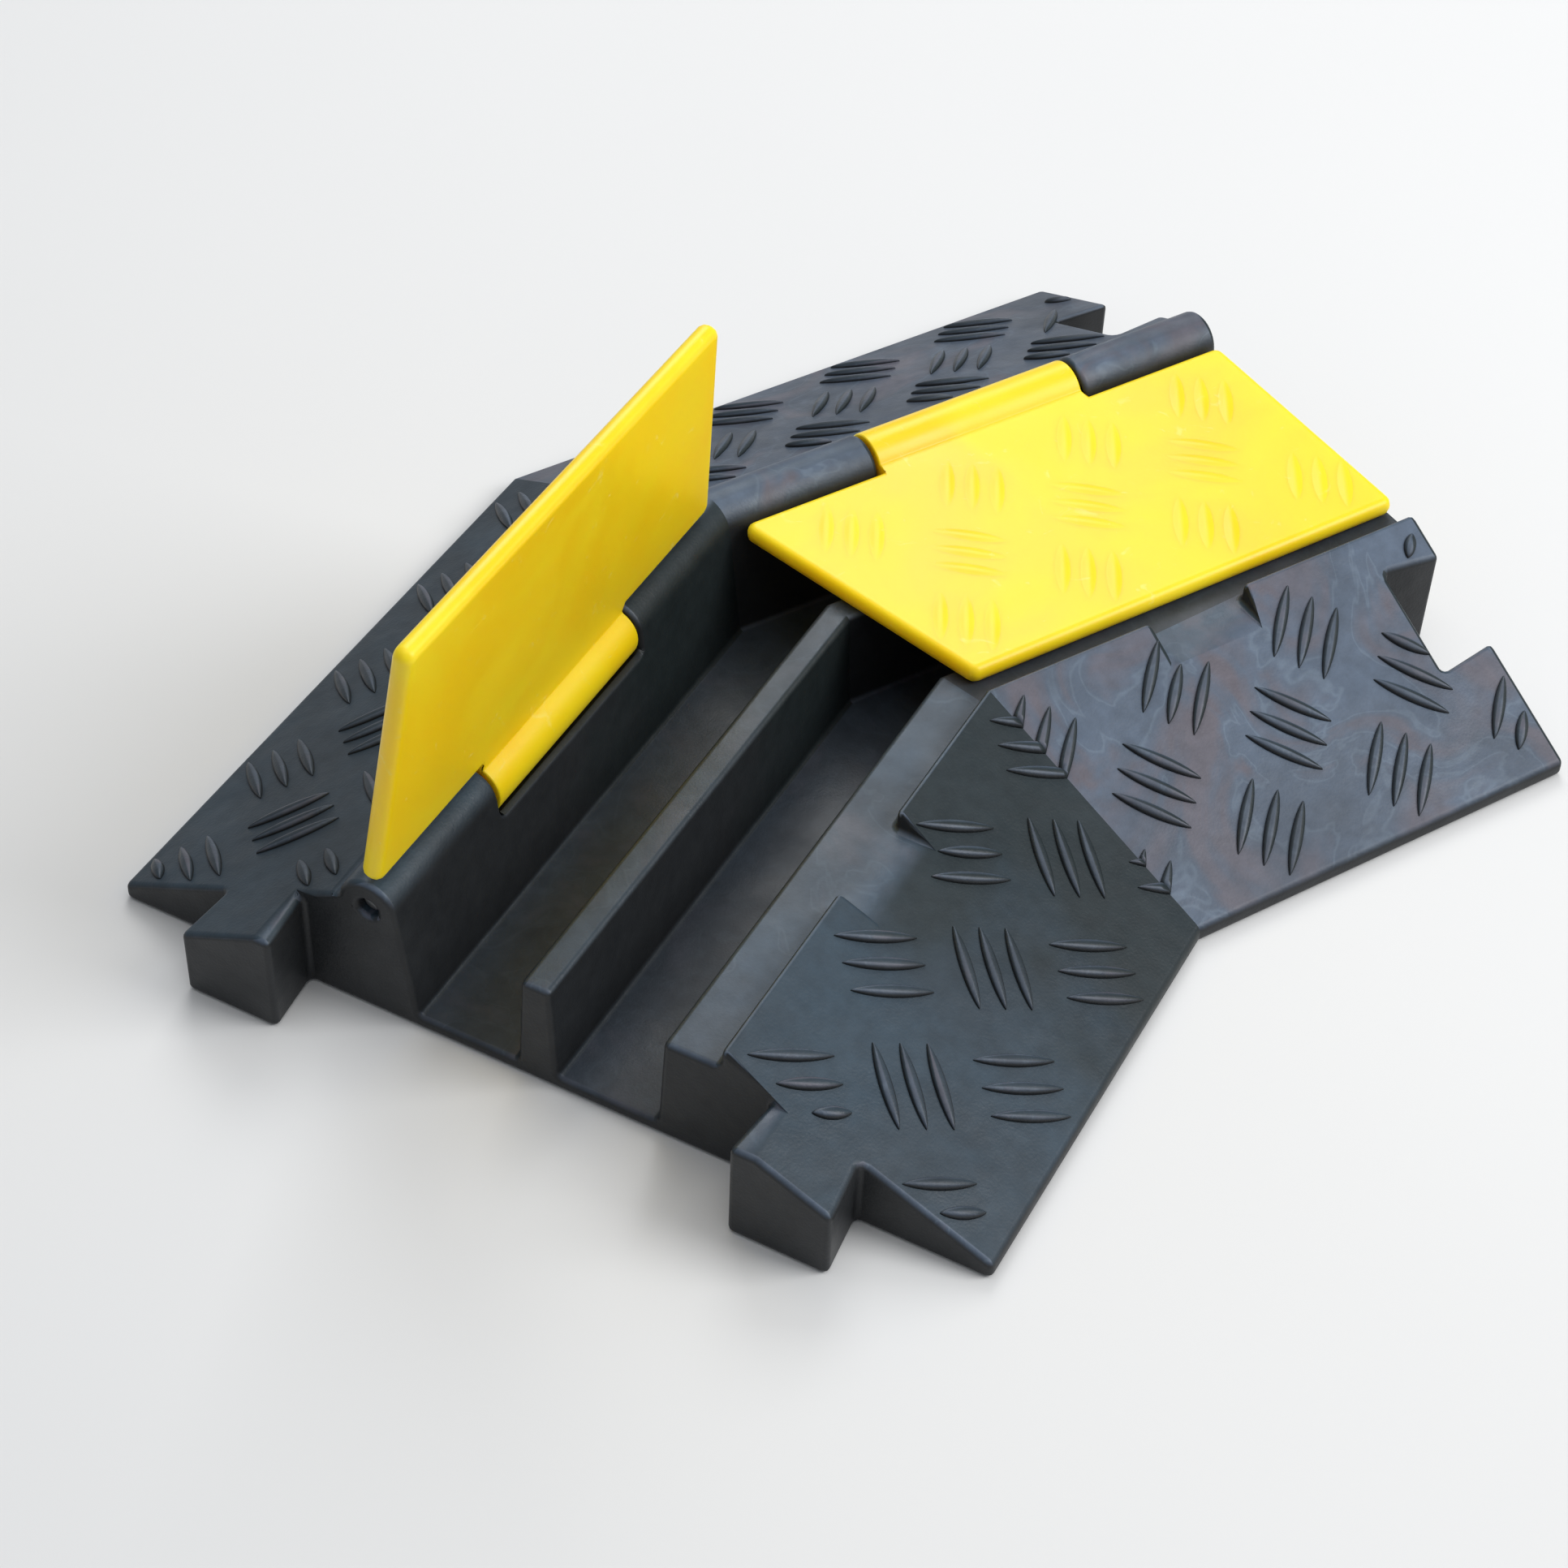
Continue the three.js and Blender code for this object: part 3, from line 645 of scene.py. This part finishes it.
def tread_tree(name):
    """Node tree that puts one raised lens-shaped bar on each point it is given.

    A point's turn attribute is the bar's rotation and its reach attribute is half the bar's length.
    """
    tree = bpy.data.node_groups.new(name, "GeometryNodeTree")
    interface = tree.interface
    interface.new_socket("Points", in_out="INPUT", socket_type="NodeSocketGeometry")
    sizes = {"Bar Width": 3.6 * MM, "Bar Height": 1.5 * MM, "Bar Root": RAMP_BAR_ROOT}
    for label, default in sizes.items():
        socket = interface.new_socket(label, in_out="INPUT", socket_type="NodeSocketFloat")
        socket.default_value = default
        socket.subtype = "DISTANCE"
    fullness = interface.new_socket("Bar Fullness", in_out="INPUT", socket_type="NodeSocketFloat")
    fullness.default_value = RAMP_BAR_FULLNESS
    interface.new_socket("Material", in_out="INPUT", socket_type="NodeSocketMaterial")
    interface.new_socket("Bars", in_out="OUTPUT", socket_type="NodeSocketGeometry")
    given = add_node(tree, "NodeGroupInput").outputs

    # A ball, laid along X, is drawn out to a lens with pointed ends, a top and a root
    ball = add_node(tree, "GeometryNodeMeshUVSphere", {
        "Segments": BAR_SIDES, "Rings": BAR_RINGS, "Radius": 1.0,
    })
    laid = add_node(tree, "GeometryNodeTransform", {
        "Geometry": ball.outputs["Mesh"], "Rotation": (0.0, math.pi / 2, 0.0),
    })
    place = add_node(tree, "GeometryNodeInputPosition").outputs[0]
    parts = add_node(tree, "ShaderNodeSeparateXYZ", {0: place}).outputs
    square = add_node(tree, "ShaderNodeMath", {
        0: parts["X"], 1: parts["X"],
    }, operation="MULTIPLY").outputs[0]
    rest = add_node(tree, "ShaderNodeMath", {
        0: 1.0, 1: square,
    }, operation="SUBTRACT", use_clamp=True).outputs[0]
    taper = add_node(tree, "ShaderNodeMath", {
        0: rest, 1: BAR_TAPER,
    }, operation="POWER").outputs[0]
    half_width = add_node(
        tree, "ShaderNodeMath", {0: given["Bar Width"], 1: 0.5}, operation="MULTIPLY",
    ).outputs[0]
    side_reach = add_node(tree, "ShaderNodeMath", {
        0: taper, 1: half_width,
    }, operation="MULTIPLY").outputs[0]
    new_y = add_node(tree, "ShaderNodeMath", {
        0: parts["Y"], 1: side_reach,
    }, operation="MULTIPLY").outputs[0]
    above = add_node(tree, "ShaderNodeMath", {
        0: parts["Z"], 1: 0.0,
    }, operation="MAXIMUM").outputs[0]
    below = add_node(tree, "ShaderNodeMath", {
        0: parts["Z"], 1: 0.0,
    }, operation="MINIMUM").outputs[0]
    flat_top = add_node(
        tree, "ShaderNodeMath", {0: above, 1: given["Bar Fullness"]}, operation="POWER",
    ).outputs[0]
    raised = add_node(
        tree, "ShaderNodeMath", {0: flat_top, 1: given["Bar Height"]}, operation="MULTIPLY",
    ).outputs[0]
    sunk = add_node(tree, "ShaderNodeMath", {
        0: below, 1: given["Bar Root"],
    }, operation="MULTIPLY").outputs[0]
    new_z = add_node(tree, "ShaderNodeMath", {0: raised, 1: sunk}, operation="ADD").outputs[0]
    moved = add_node(tree, "ShaderNodeCombineXYZ", {0: parts["X"], 1: new_y, 2: new_z}).outputs[0]
    lens = add_node(tree, "GeometryNodeSetPosition", {
        "Geometry": laid.outputs["Geometry"], "Position": moved,
    }).outputs[0]

    # One lens on each point, smooth but for its sharp edges
    turn = add_node(
        tree, "GeometryNodeInputNamedAttribute", {"Name": "turn"}, data_type="FLOAT_VECTOR",
    ).outputs["Attribute"]
    reach = add_node(
        tree, "GeometryNodeInputNamedAttribute", {"Name": "reach"}, data_type="FLOAT",
    ).outputs["Attribute"]
    rotation = add_node(tree, "FunctionNodeEulerToRotation", {0: turn}).outputs[0]
    stretch = add_node(tree, "ShaderNodeCombineXYZ", {0: reach, 1: 1.0, 2: 1.0}).outputs[0]
    bars = add_node(tree, "GeometryNodeInstanceOnPoints", {
        "Points": given["Points"], "Instance": lens, "Rotation": rotation, "Scale": stretch,
    }).outputs[0]
    real = add_node(tree, "GeometryNodeRealizeInstances", {0: bars}).outputs[0]
    smooth = add_node(tree, "GeometryNodeSetShadeSmooth", {"Geometry": real}).outputs[0]
    fold = add_node(tree, "GeometryNodeInputMeshEdgeAngle").outputs["Unsigned Angle"]
    gentle = add_node(
        tree, "FunctionNodeCompare", {0: fold, 1: BAR_CREASE},
        data_type="FLOAT", operation="LESS_THAN",
    ).outputs[0]
    creased = add_node(
        tree, "GeometryNodeSetShadeSmooth", {"Geometry": smooth, "Shade Smooth": gentle},
        domain="EDGE",
    ).outputs[0]
    painted = add_node(
        tree, "GeometryNodeSetMaterial", {"Geometry": creased, "Material": given["Material"]},
    ).outputs[0]
    add_node(tree, "NodeGroupOutput", {0: painted})
    return tree


def free_stretch(middle, heading, length, allowed):
    """The longest allowed stretch of a bar's line, as its centre and half its length."""
    step = length / LINE_STEPS
    run = longest = last = 0
    for i in range(LINE_STEPS + 1):
        run = run + 1 if allowed(*(middle + heading * ((i - LINE_STEPS / 2) * step))) else 0
        if run > longest:
            longest, last = run, i
    centre = middle + heading * ((last - (longest - 1) / 2 - LINE_STEPS / 2) * step)
    return centre, (longest - 1) * step / 2


def tread_points(
    side, treads, first_row, row_pitch, start, pitch, shear, slants, rise, height, allowed,
    shortest,
):
    """Points for the bars of one surface, in three rows of groups of three parallel bars.

    slants gives the outer rows' direction and the middle row's, whose groups stand half a pitch on.
    rise is the surface's slope and height its height at a place behind the front edge.
    """
    points = []
    up = (Vector((0, 0, 1)) - across_line(side) * rise).normalized()
    for row in (-1, 0, 1):
        v = first_row + (row + 1) * row_pitch
        own, other = slants if row else reversed(slants)
        heading = Vector((1, own)).normalized()
        aside = Vector((1, other)).normalized() * treads.bar_spacing
        line = along_line(side) * heading.x + across_line(side) * heading.y
        line.z = rise * heading.y
        stretch = line.length
        line.normalize()
        turned = Matrix((line, up.cross(line), up)).transposed()
        first_s = start + (0 if row else pitch / 2) - shear * row * row_pitch
        for k in range(-GROUPS_EACH_WAY, GROUPS_EACH_WAY + 1):
            for j in (-1, 0, 1):
                middle = Vector((first_s + k * pitch, v)) + aside * j
                centre, reach = free_stretch(middle, heading, treads.bar_length, allowed)
                if 2 * reach >= shortest:
                    place = plan_point(side, centre.x, centre.y, height(centre.y))
                    points.append((place, turned, reach * stretch))
    return points


def carried(points, transform):
    """The same points moved by a rigid transform."""
    turn = transform.to_3x3()
    return [(transform @ place, turn @ turned, reach) for place, turned, reach in points]


def bars_object(name, points, width, height, root, fullness, material):
    """One mesh of tread bars, made by the node tree from its points."""
    mesh = bpy.data.meshes.new(name)
    mesh.from_pydata([place for place, _, _ in points], [], [])
    turns = mesh.attributes.new("turn", "FLOAT_VECTOR", "POINT")
    turns.data.foreach_set("vector", [a for _, turned, _ in points for a in turned.to_euler("XYZ")])
    reaches = mesh.attributes.new("reach", "FLOAT", "POINT")
    reaches.data.foreach_set("value", [reach for _, _, reach in points])
    piece = add_object(name, mesh)
    modifier = piece.modifiers.new("tread bars", "NODES")
    modifier.node_group = bpy.data.node_groups.get("tread_bars") or tread_tree("tread_bars")
    items = modifier.node_group.interface.items_tree
    sockets = {item.name: item.identifier for item in items if item.in_out == "INPUT"}
    modifier[sockets["Bar Width"]] = width
    modifier[sockets["Bar Height"]] = height
    modifier[sockets["Bar Root"]] = root
    modifier[sockets["Bar Fullness"]] = fullness
    modifier[sockets["Material"]] = material
    return settled(piece)


def cut_at_mitre(piece, side):
    """Cuts off what lies past the mitre and closes the cut bars."""
    shape = bmesh.new()
    shape.from_mesh(piece.data)
    everything = [*shape.verts, *shape.edges, *shape.faces]
    bmesh.ops.bisect_plane(
        shape, geom=everything, plane_co=(MITRE_X, 0, 0), plane_no=(-side, 0, 0), clear_outer=True,
    )
    open_edges = [edge for edge in shape.edges if edge.is_boundary]
    bmesh.ops.holes_fill(shape, edges=open_edges, sides=0)
    shape.to_mesh(piece.data)
    shape.free()
    return piece


def joined(name, pieces):
    """One object from several, in the first one's place."""
    shape = bmesh.new()
    for piece in pieces:
        shape.from_mesh(piece.data)
    mesh = pieces[0].data
    shape.to_mesh(mesh)
    shape.free()
    for piece in pieces[1:]:
        bpy.data.objects.remove(piece)
    pieces[0].name = name
    mesh.name = name
    return pieces[0]


def in_socket(s, v, middle):
    """Whether a place lies in the socket whose middle is that far behind the front edge."""
    return s > SOCKET_START and abs(v - middle) < SOCKET_HALF_WIDTH


def front_allowed(side, edge):
    """Where the front ramp may carry bars."""
    def allowed(s, v):
        if s > SEGMENT_LENGTH - edge or v < edge or v > FRONT_RUN - edge:
            return False
        if v > NOTCH_PLACE and NOTCH_START - ROUND_MARGIN < s < NOTCH_END + ROUND_MARGIN:
            return False
        return not (side == FAR and in_socket(s, v, FRONT_SOCKET_PLACE))
    return allowed


def back_allowed(side, edge):
    """Where the back ramp may carry bars."""
    def allowed(s, v):
        if s > SEGMENT_LENGTH - edge or s < mitre_s(v) + edge:
            return False
        if v > WIDTH - edge or v < STRIP_PLACE + edge:
            return False
        return not (side == FAR and in_socket(s, v, BACK_SOCKET_PLACE))
    return allowed


def lid_allowed(edge):
    """Where a lid may carry bars."""
    def allowed(s, v):
        inside = LID_FRONT + edge < v < LID_BACK - edge / 2 and s < SEGMENT_LENGTH - edge
        return inside and s > mitre_s(v) + LID_MITRE_GAP + edge
    return allowed


# Settings

class CordCoverRubber(bpy.types.PropertyGroup):
    """Rubber base."""
    edge_round: FloatProperty(
        name="Edge Round", description="Radius of the moulded edges", default=1.7 * MM,
        unit="LENGTH",
    )
    shade_colour: StringProperty(
        name="Body Colour", description="Rubber without bloom, sRGB hex", default="#27292B",
    )
    # Blue-grey bloom with a painted reflection of the sky on faces that look up
    bloom_and_sky_sheen_colour: StringProperty(
        name="Bloom Colour",
        description="Blue-grey bloom on upward faces, sRGB hex", default="#525F70",
    )
    # Painted shade: the near segment's bloom and sky sheen, darker and greener
    near_shaded_colour: StringProperty(
        name="Near Bloom Colour",
        description="Darker, greener bloom of the near segment, sRGB hex",
        default="#364957",
    )
    stain_colour: StringProperty(
        name="Stain Colour",
        description="Brown and violet water stains, sRGB hex", default="#5C5860",
    )
    rim_colour: StringProperty(
        name="Rim Colour", description="Paler rims of the stains, sRGB hex", default="#8797A4",
    )
    # A dark, slightly green patch beside the mitre on the near front ramp: its colour and its share
    dark_patch_colour: StringProperty(
        name="Damp Colour",
        description="Damp patch of the near front ramp, sRGB hex", default="#1E2627",
    )
    dark_patch: FloatProperty(
        name="Damp", description="Share of the damp colour in the damp patch", default=0.8,
        min=0, max=1, subtype="FACTOR",
    )
    # Painted shade: the near segment's ramps keep this share of bloom and sky sheen
    near_shade_share: FloatProperty(
        name="Near Bloom", description="Share of bloom on the near segment's ramps", default=0.7,
        min=0, max=1, subtype="FACTOR",
    )
    # Bloom and painted sky sheen on the far segment's ramps
    far_bloom_and_sky_sheen: FloatProperty(
        name="Far Bloom", description="Share of bloom on the far segment's ramps", default=1.0,
        min=0, max=1, subtype="FACTOR",
    )
    # Bloom and painted sky sheen on the rubbed tread bars
    bar_bloom_and_sky_sheen: FloatProperty(
        name="Bar Bloom", description="Most bloom that the rubbed tread bars carry", default=0.7,
        min=0, max=1, subtype="FACTOR",
    )


class CordCoverTreads(bpy.types.PropertyGroup):
    """Tread bars."""
    bar_length: FloatProperty(
        name="Bar Length", description="Length of a whole bar", default=22 * MM, unit="LENGTH",
    )
    shortest_bar: FloatProperty(
        name="Shortest Bar",
        description="Bars cut shorter than this are left out", default=7 * MM, unit="LENGTH",
    )
    bar_spacing: FloatProperty(
        name="Bar Spacing", description="Distance between the bars of a group", default=7.1 * MM,
        unit="LENGTH",
    )
    edge_margin: FloatProperty(
        name="Edge Margin", description="Bare border of the ramps and lids", default=2.5 * MM,
        unit="LENGTH",
    )
    ramp_bar_width: FloatProperty(
        name="Ramp Bar Width",
        description="Width of a rubber bar", default=3.6 * MM, unit="LENGTH",
    )
    ramp_bar_height: FloatProperty(
        name="Ramp Bar Height",
        description="Height of a rubber bar", default=1.5 * MM, unit="LENGTH",
    )
    ramp_row_pitch: FloatProperty(
        name="Ramp Row Pitch", description="Distance between rows on a ramp", default=20.5 * MM,
        unit="LENGTH",
    )
    first_row: FloatProperty(
        name="First Row",
        description="Place of a ramp's lowest row from its foot", default=15.2 * MM,
        unit="LENGTH",
    )
    ramp_shear: FloatProperty(
        name="Ramp Shear",
        description="Shift of a ramp's row for each unit across it", default=0.085,
    )
    front_start: FloatProperty(
        name="Front Start",
        description="Place of the front ramps' first group", default=31.8 * MM, unit="LENGTH",
    )
    front_pitch: FloatProperty(
        name="Front Pitch",
        description="Distance between groups on the front ramps", default=44 * MM, unit="LENGTH",
    )
    near_back_start: FloatProperty(
        name="Near Back Start", description="Place of the near back ramp's first group",
        default=35 * MM, unit="LENGTH",
    )
    far_back_start: FloatProperty(
        name="Far Back Start", description="Place of the far back ramp's first group",
        default=5 * MM, unit="LENGTH",
    )
    back_pitch: FloatProperty(
        name="Back Pitch",
        description="Distance between groups on the back ramps", default=42 * MM, unit="LENGTH",
    )
    lid_bar_width: FloatProperty(
        name="Lid Bar Width",
        description="Width of a bar on a lid", default=4.4 * MM, unit="LENGTH",
    )
    lid_bar_height: FloatProperty(
        name="Lid Bar Height",
        description="Height of a bar on a lid", default=0.45 * MM, unit="LENGTH",
    )
    lid_shortest_bar: FloatProperty(
        name="Lid Shortest Bar", description="Bars on a lid cut shorter than this are left out",
        default=13 * MM, unit="LENGTH",
    )
    lid_row_pitch: FloatProperty(
        name="Lid Row Pitch", description="Distance between rows on a lid", default=23.2 * MM,
        unit="LENGTH",
    )
    lid_first_row: FloatProperty(
        name="Lid First Row", description="Place of a lid's front row", default=98.6 * MM,
        unit="LENGTH",
    )
    lid_start: FloatProperty(
        name="Lid Start",
        description="Place of a lid's first group", default=27.1 * MM, unit="LENGTH",
    )
    lid_pitch: FloatProperty(
        name="Lid Pitch", description="Distance between groups on a lid", default=40.3 * MM,
        unit="LENGTH",
    )
    lid_shear: FloatProperty(
        name="Lid Shear",
        description="Shift of a lid's row for each unit across it", default=0.15,
    )


class CordCoverLid(bpy.types.PropertyGroup):
    """Lids."""
    edge_round: FloatProperty(
        name="Edge Round",
        description="Radius that softens the lids' moulded edges", default=0.5 * MM,
        unit="LENGTH",
    )
    light_colour: StringProperty(
        name="Light Colour",
        description="Lighter tone of the plastic, sRGB hex", default="#FFDC1C",
    )
    deep_colour: StringProperty(
        name="Deep Colour", description="Deeper tone of the plastic, sRGB hex", default="#FFD110",
    )
    scuff_colour: StringProperty(
        name="Scuff Colour",
        description="Pale scuffs on the plastic, sRGB hex", default="#FFF3A0",
    )
    glow: FloatProperty(
        name="Glow", description="Share of light that spreads inside the plates", default=0.45,
        min=0, max=1, subtype="FACTOR",
    )


class CordCoverStage(bpy.types.PropertyGroup):
    """Camera and light."""
    eye: FloatVectorProperty(
        name="Eye", description="Place of the camera from the front vertex of the bend",
        default=(-507.59 * MM, -302.64 * MM, 622.93 * MM), size=3, unit="LENGTH",
    )
    turn: FloatVectorProperty(
        name="Turn", description="Turn of the camera about X, Y and Z", size=3, subtype="EULER",
        default=(0.79287, -0.03035, -0.81664),
    )
    lens_mm: FloatProperty(
        name="Lens", description="Focal length on a 36 mm sensor, in millimetres", default=75.0,
    )
    top_power: FloatProperty(
        name="Top Power",
        description="Power of the large soft light overhead", default=9.5, unit="POWER",
    )
    key_power: FloatProperty(
        name="Key Power",
        description="Power of the soft light behind and to the right", default=12.5,
        unit="POWER",
    )
    front_power: FloatProperty(
        name="Front Power",
        description="Power of the soft light in front", default=24.0, unit="POWER",
    )
    sky_strength: FloatProperty(
        name="Sky Strength", description="Brightness of the even surrounding light", default=0.35,
    )


# Operators

class CORDCOVER_OT_rubber_base(bpy.types.Operator):
    """Makes the rounded rubber base that stands for the frame's ramp body"""
    bl_idname = "cordcover.rubber_base"
    bl_label = "Rubber Base"

    def execute(self, context):
        settings = context.scene.cord_cover_rubber
        base = merged_copy("ramp_body", "rubber_base", plain_ramps=True)
        round_edges(base, settings.edge_round, BASE_ROUND_STEPS, BASE_ROUND_ANGLE)
        settled(base)
        # Painted shade where shade falls on the rubber
        mark_painted_shade(base)
        rubber = made_once("moulded_black_rubber", moulded_rubber, settings, settings.far_bloom_and_sky_sheen)
        base.data.materials.append(rubber)
        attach(base, "base")
        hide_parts("ramp_body")
        return {"FINISHED"}


class CORDCOVER_OT_lids(bpy.types.Operator):
    """Makes the two yellow lids with softened edges"""
    bl_idname = "cordcover.lids"
    bl_label = "Lids"

    def execute(self, context):
        settings = context.scene.cord_cover_lid
        plastic = made_once("moulded_yellow_plastic", moulded_plastic, settings, settings.glow)
        for node_name, body in (("lid_near", "near_lid"), ("lid_far", "far_lid")):
            lid = merged_copy(node_name, node_name + "_shell")
            round_edges(lid, settings.edge_round, LID_ROUND_STEPS, LID_ROUND_ANGLE)
            settled(lid)
            lid.data.materials.append(plastic)
            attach(lid, body)
            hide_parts(node_name)
        return {"FINISHED"}


class CORDCOVER_OT_ramp_treads(bpy.types.Operator):
    """Lays the tread bars on the front and back ramps of the base"""
    bl_idname = "cordcover.ramp_treads"
    bl_label = "Ramp Treads"

    def execute(self, context):
        treads = context.scene.cord_cover_treads
        finish = context.scene.cord_cover_rubber
        rubber = made_once("rubbed_black_rubber", moulded_rubber, finish, finish.bar_bloom_and_sky_sheen)
        front_rise = (RIM_HEIGHT - LIP_HEIGHT) / FRONT_RUN
        back_rise = -(STRIP_HEIGHT - LIP_HEIGHT) / (WIDTH - STRIP_PLACE)
        back_first_row = WIDTH - treads.first_row - 2 * treads.ramp_row_pitch
        back_starts = {NEAR: treads.near_back_start, FAR: treads.far_back_start}
        halves = []
        for side in (NEAR, FAR):
            points = tread_points(
                side, treads, treads.first_row, treads.ramp_row_pitch, treads.front_start,
                treads.front_pitch, treads.ramp_shear, FRONT_SLANTS, front_rise, front_height,
                front_allowed(side, treads.edge_margin), treads.shortest_bar,
            )
            points += tread_points(
                side, treads, back_first_row, treads.ramp_row_pitch, back_starts[side],
                treads.back_pitch, treads.ramp_shear, BACK_SLANTS, back_rise, back_height,
                back_allowed(side, treads.edge_margin), treads.shortest_bar,
            )
            half = bars_object(
                f"ramp_treads_{side}", points, treads.ramp_bar_width, treads.ramp_bar_height,
                RAMP_BAR_ROOT, RAMP_BAR_FULLNESS, rubber,
            )
            halves.append(cut_at_mitre(half, side))
        bars = joined("ramp_treads", halves)
        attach(bars, "base")
        return {"FINISHED"}


class CORDCOVER_OT_lid_treads(bpy.types.Operator):
    """Lays the low tread bars on the top faces of the lids"""
    bl_idname = "cordcover.lid_treads"
    bl_label = "Lid Treads"

    def execute(self, context):
        treads = context.scene.cord_cover_treads
        finish = context.scene.cord_cover_lid
        plastic = made_once("yellow_plastic_relief", moulded_plastic, finish, 0.0)
        for side, body, name in (
            (NEAR, "near_lid", "lid_near_treads"), (FAR, "far_lid", "lid_far_treads"),
        ):
            points = tread_points(
                side, treads, treads.lid_first_row, treads.lid_row_pitch, treads.lid_start,
                treads.lid_pitch, treads.lid_shear, LID_SLANTS, 0.0, lambda v: RIM_HEIGHT,
                lid_allowed(treads.edge_margin), treads.lid_shortest_bar,
            )
            if side == NEAR:
                pivot = Vector(NEAR_HINGE["pos_m"])
                opening = Matrix.Rotation(OPEN_ANGLE, 4, Vector(NEAR_HINGE["axis"]))
                swing = Matrix.Translation(pivot) @ opening @ Matrix.Translation(-pivot)
                points = carried(points, swing)
            bars = bars_object(
                name, points, treads.lid_bar_width, treads.lid_bar_height, LID_BAR_ROOT,
                LID_BAR_FULLNESS, plastic,
            )
            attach(bars, body)
        return {"FINISHED"}


class CORDCOVER_OT_hinge_pins(bpy.types.Operator):
    """Gives the two hinge pins their drawn steel"""
    bl_idname = "cordcover.hinge_pins"
    bl_label = "Hinge Pins"

    def execute(self, context):
        steel = made_once("drawn_steel", drawn_steel)
        for node_name in ("hinge_pin_near", "hinge_pin_far"):
            pin = frame["nodes"][node_name]
            pin.data.materials.clear()
            pin.data.materials.append(steel)
        return {"FINISHED"}


class CORDCOVER_OT_stage(bpy.types.Operator):
    """Makes the floor, the lights and the camera"""
    bl_idname = "cordcover.stage"
    bl_label = "Stage"

    def execute(self, context):
        settings = context.scene.cord_cover_stage
        scene = context.scene
        mesh = bpy.data.meshes.new("studio_floor")
        signs = ((-1, -1), (1, -1), (1, 1), (-1, 1))
        corners = [(x * FLOOR_REACH, y * FLOOR_REACH, 0) for x, y in signs]
        mesh.from_pydata(corners, [], [(0, 1, 2, 3)])
        floor = add_object("studio_floor", mesh)
        floor.data.materials.append(made_once("matt_floor_paint", painted_floor))

        world = bpy.data.worlds.new("studio")
        world.use_nodes = True
        background = world.node_tree.nodes["Background"]
        background.inputs["Color"].default_value = linear("#EDF2FA")
        background.inputs["Strength"].default_value = settings.sky_strength
        scene.world = world

        # Square soft lights that face the part, with their places and widths in metres
        for name, place, size, power in (
            ("top", (0.1, 0.0, 1.7), 1.5, settings.top_power),
            ("key", (0.95, 0.95, 1.33), 0.9, settings.key_power),
            ("front", (0.8, -1.25, 1.25), 1.0, settings.front_power),
        ):
            light = bpy.data.lights.new(name, "AREA")
            light.size = size
            light.energy = power
            lamp = bpy.data.objects.new(name, light)
            scene.collection.objects.link(lamp)
            lamp.location = place
            lamp.rotation_euler = (-Vector(place)).to_track_quat("-Z", "Y").to_euler()

        camera = bpy.data.objects.new("camera", bpy.data.cameras.new("camera"))
        scene.collection.objects.link(camera)
        camera.location = Vector((MITRE_X, VERTEX_Y, 0)) + Vector(settings.eye)
        camera.rotation_euler = settings.turn
        camera.data.sensor_width = SENSOR_WIDTH_MM
        camera.data.lens = settings.lens_mm
        scene.camera = camera
        scene.view_settings.view_transform = "Standard"
        return {"FINISHED"}


class CORDCOVER_PT_panel(bpy.types.Panel):
    """Lists the steps and their settings"""
    bl_idname = "CORDCOVER_PT_panel"
    bl_label = "Cord Cover"
    bl_space_type = "VIEW_3D"
    bl_region_type = "UI"
    bl_category = "Cord Cover"

    def draw(self, context):
        for operator in STEPS:
            self.layout.operator(operator.bl_idname)
        for group_name in SETTINGS:
            group = getattr(context.scene, group_name)
            for key in group.bl_rna.properties.keys():
                if key not in {"rna_type", "name"}:
                    self.layout.prop(group, key)


SETTINGS = {
    "cord_cover_rubber": CordCoverRubber,
    "cord_cover_treads": CordCoverTreads,
    "cord_cover_lid": CordCoverLid,
    "cord_cover_stage": CordCoverStage,
}
STEPS = (
    CORDCOVER_OT_stage,
    CORDCOVER_OT_rubber_base,
    CORDCOVER_OT_ramp_treads,
    CORDCOVER_OT_lids,
    CORDCOVER_OT_lid_treads,
    CORDCOVER_OT_hinge_pins,
)
CLASSES = (*SETTINGS.values(), *STEPS, CORDCOVER_PT_panel)


def register():
    """Adds the classes and the scene's settings."""
    for item in CLASSES:
        bpy.utils.register_class(item)
    for name, group in SETTINGS.items():
        setattr(bpy.types.Scene, name, PointerProperty(type=group))


def unregister():
    """Takes the settings and the classes away again."""
    for name in SETTINGS:
        delattr(bpy.types.Scene, name)
    for item in reversed(CLASSES):
        bpy.utils.unregister_class(item)


def main():
    """Runs the steps in order."""
    register()
    bpy.ops.cordcover.stage()
    bpy.ops.cordcover.rubber_base()
    bpy.ops.cordcover.ramp_treads()
    bpy.ops.cordcover.lids()
    bpy.ops.cordcover.lid_treads()
    bpy.ops.cordcover.hinge_pins()


if __name__ == "__main__":
    main()
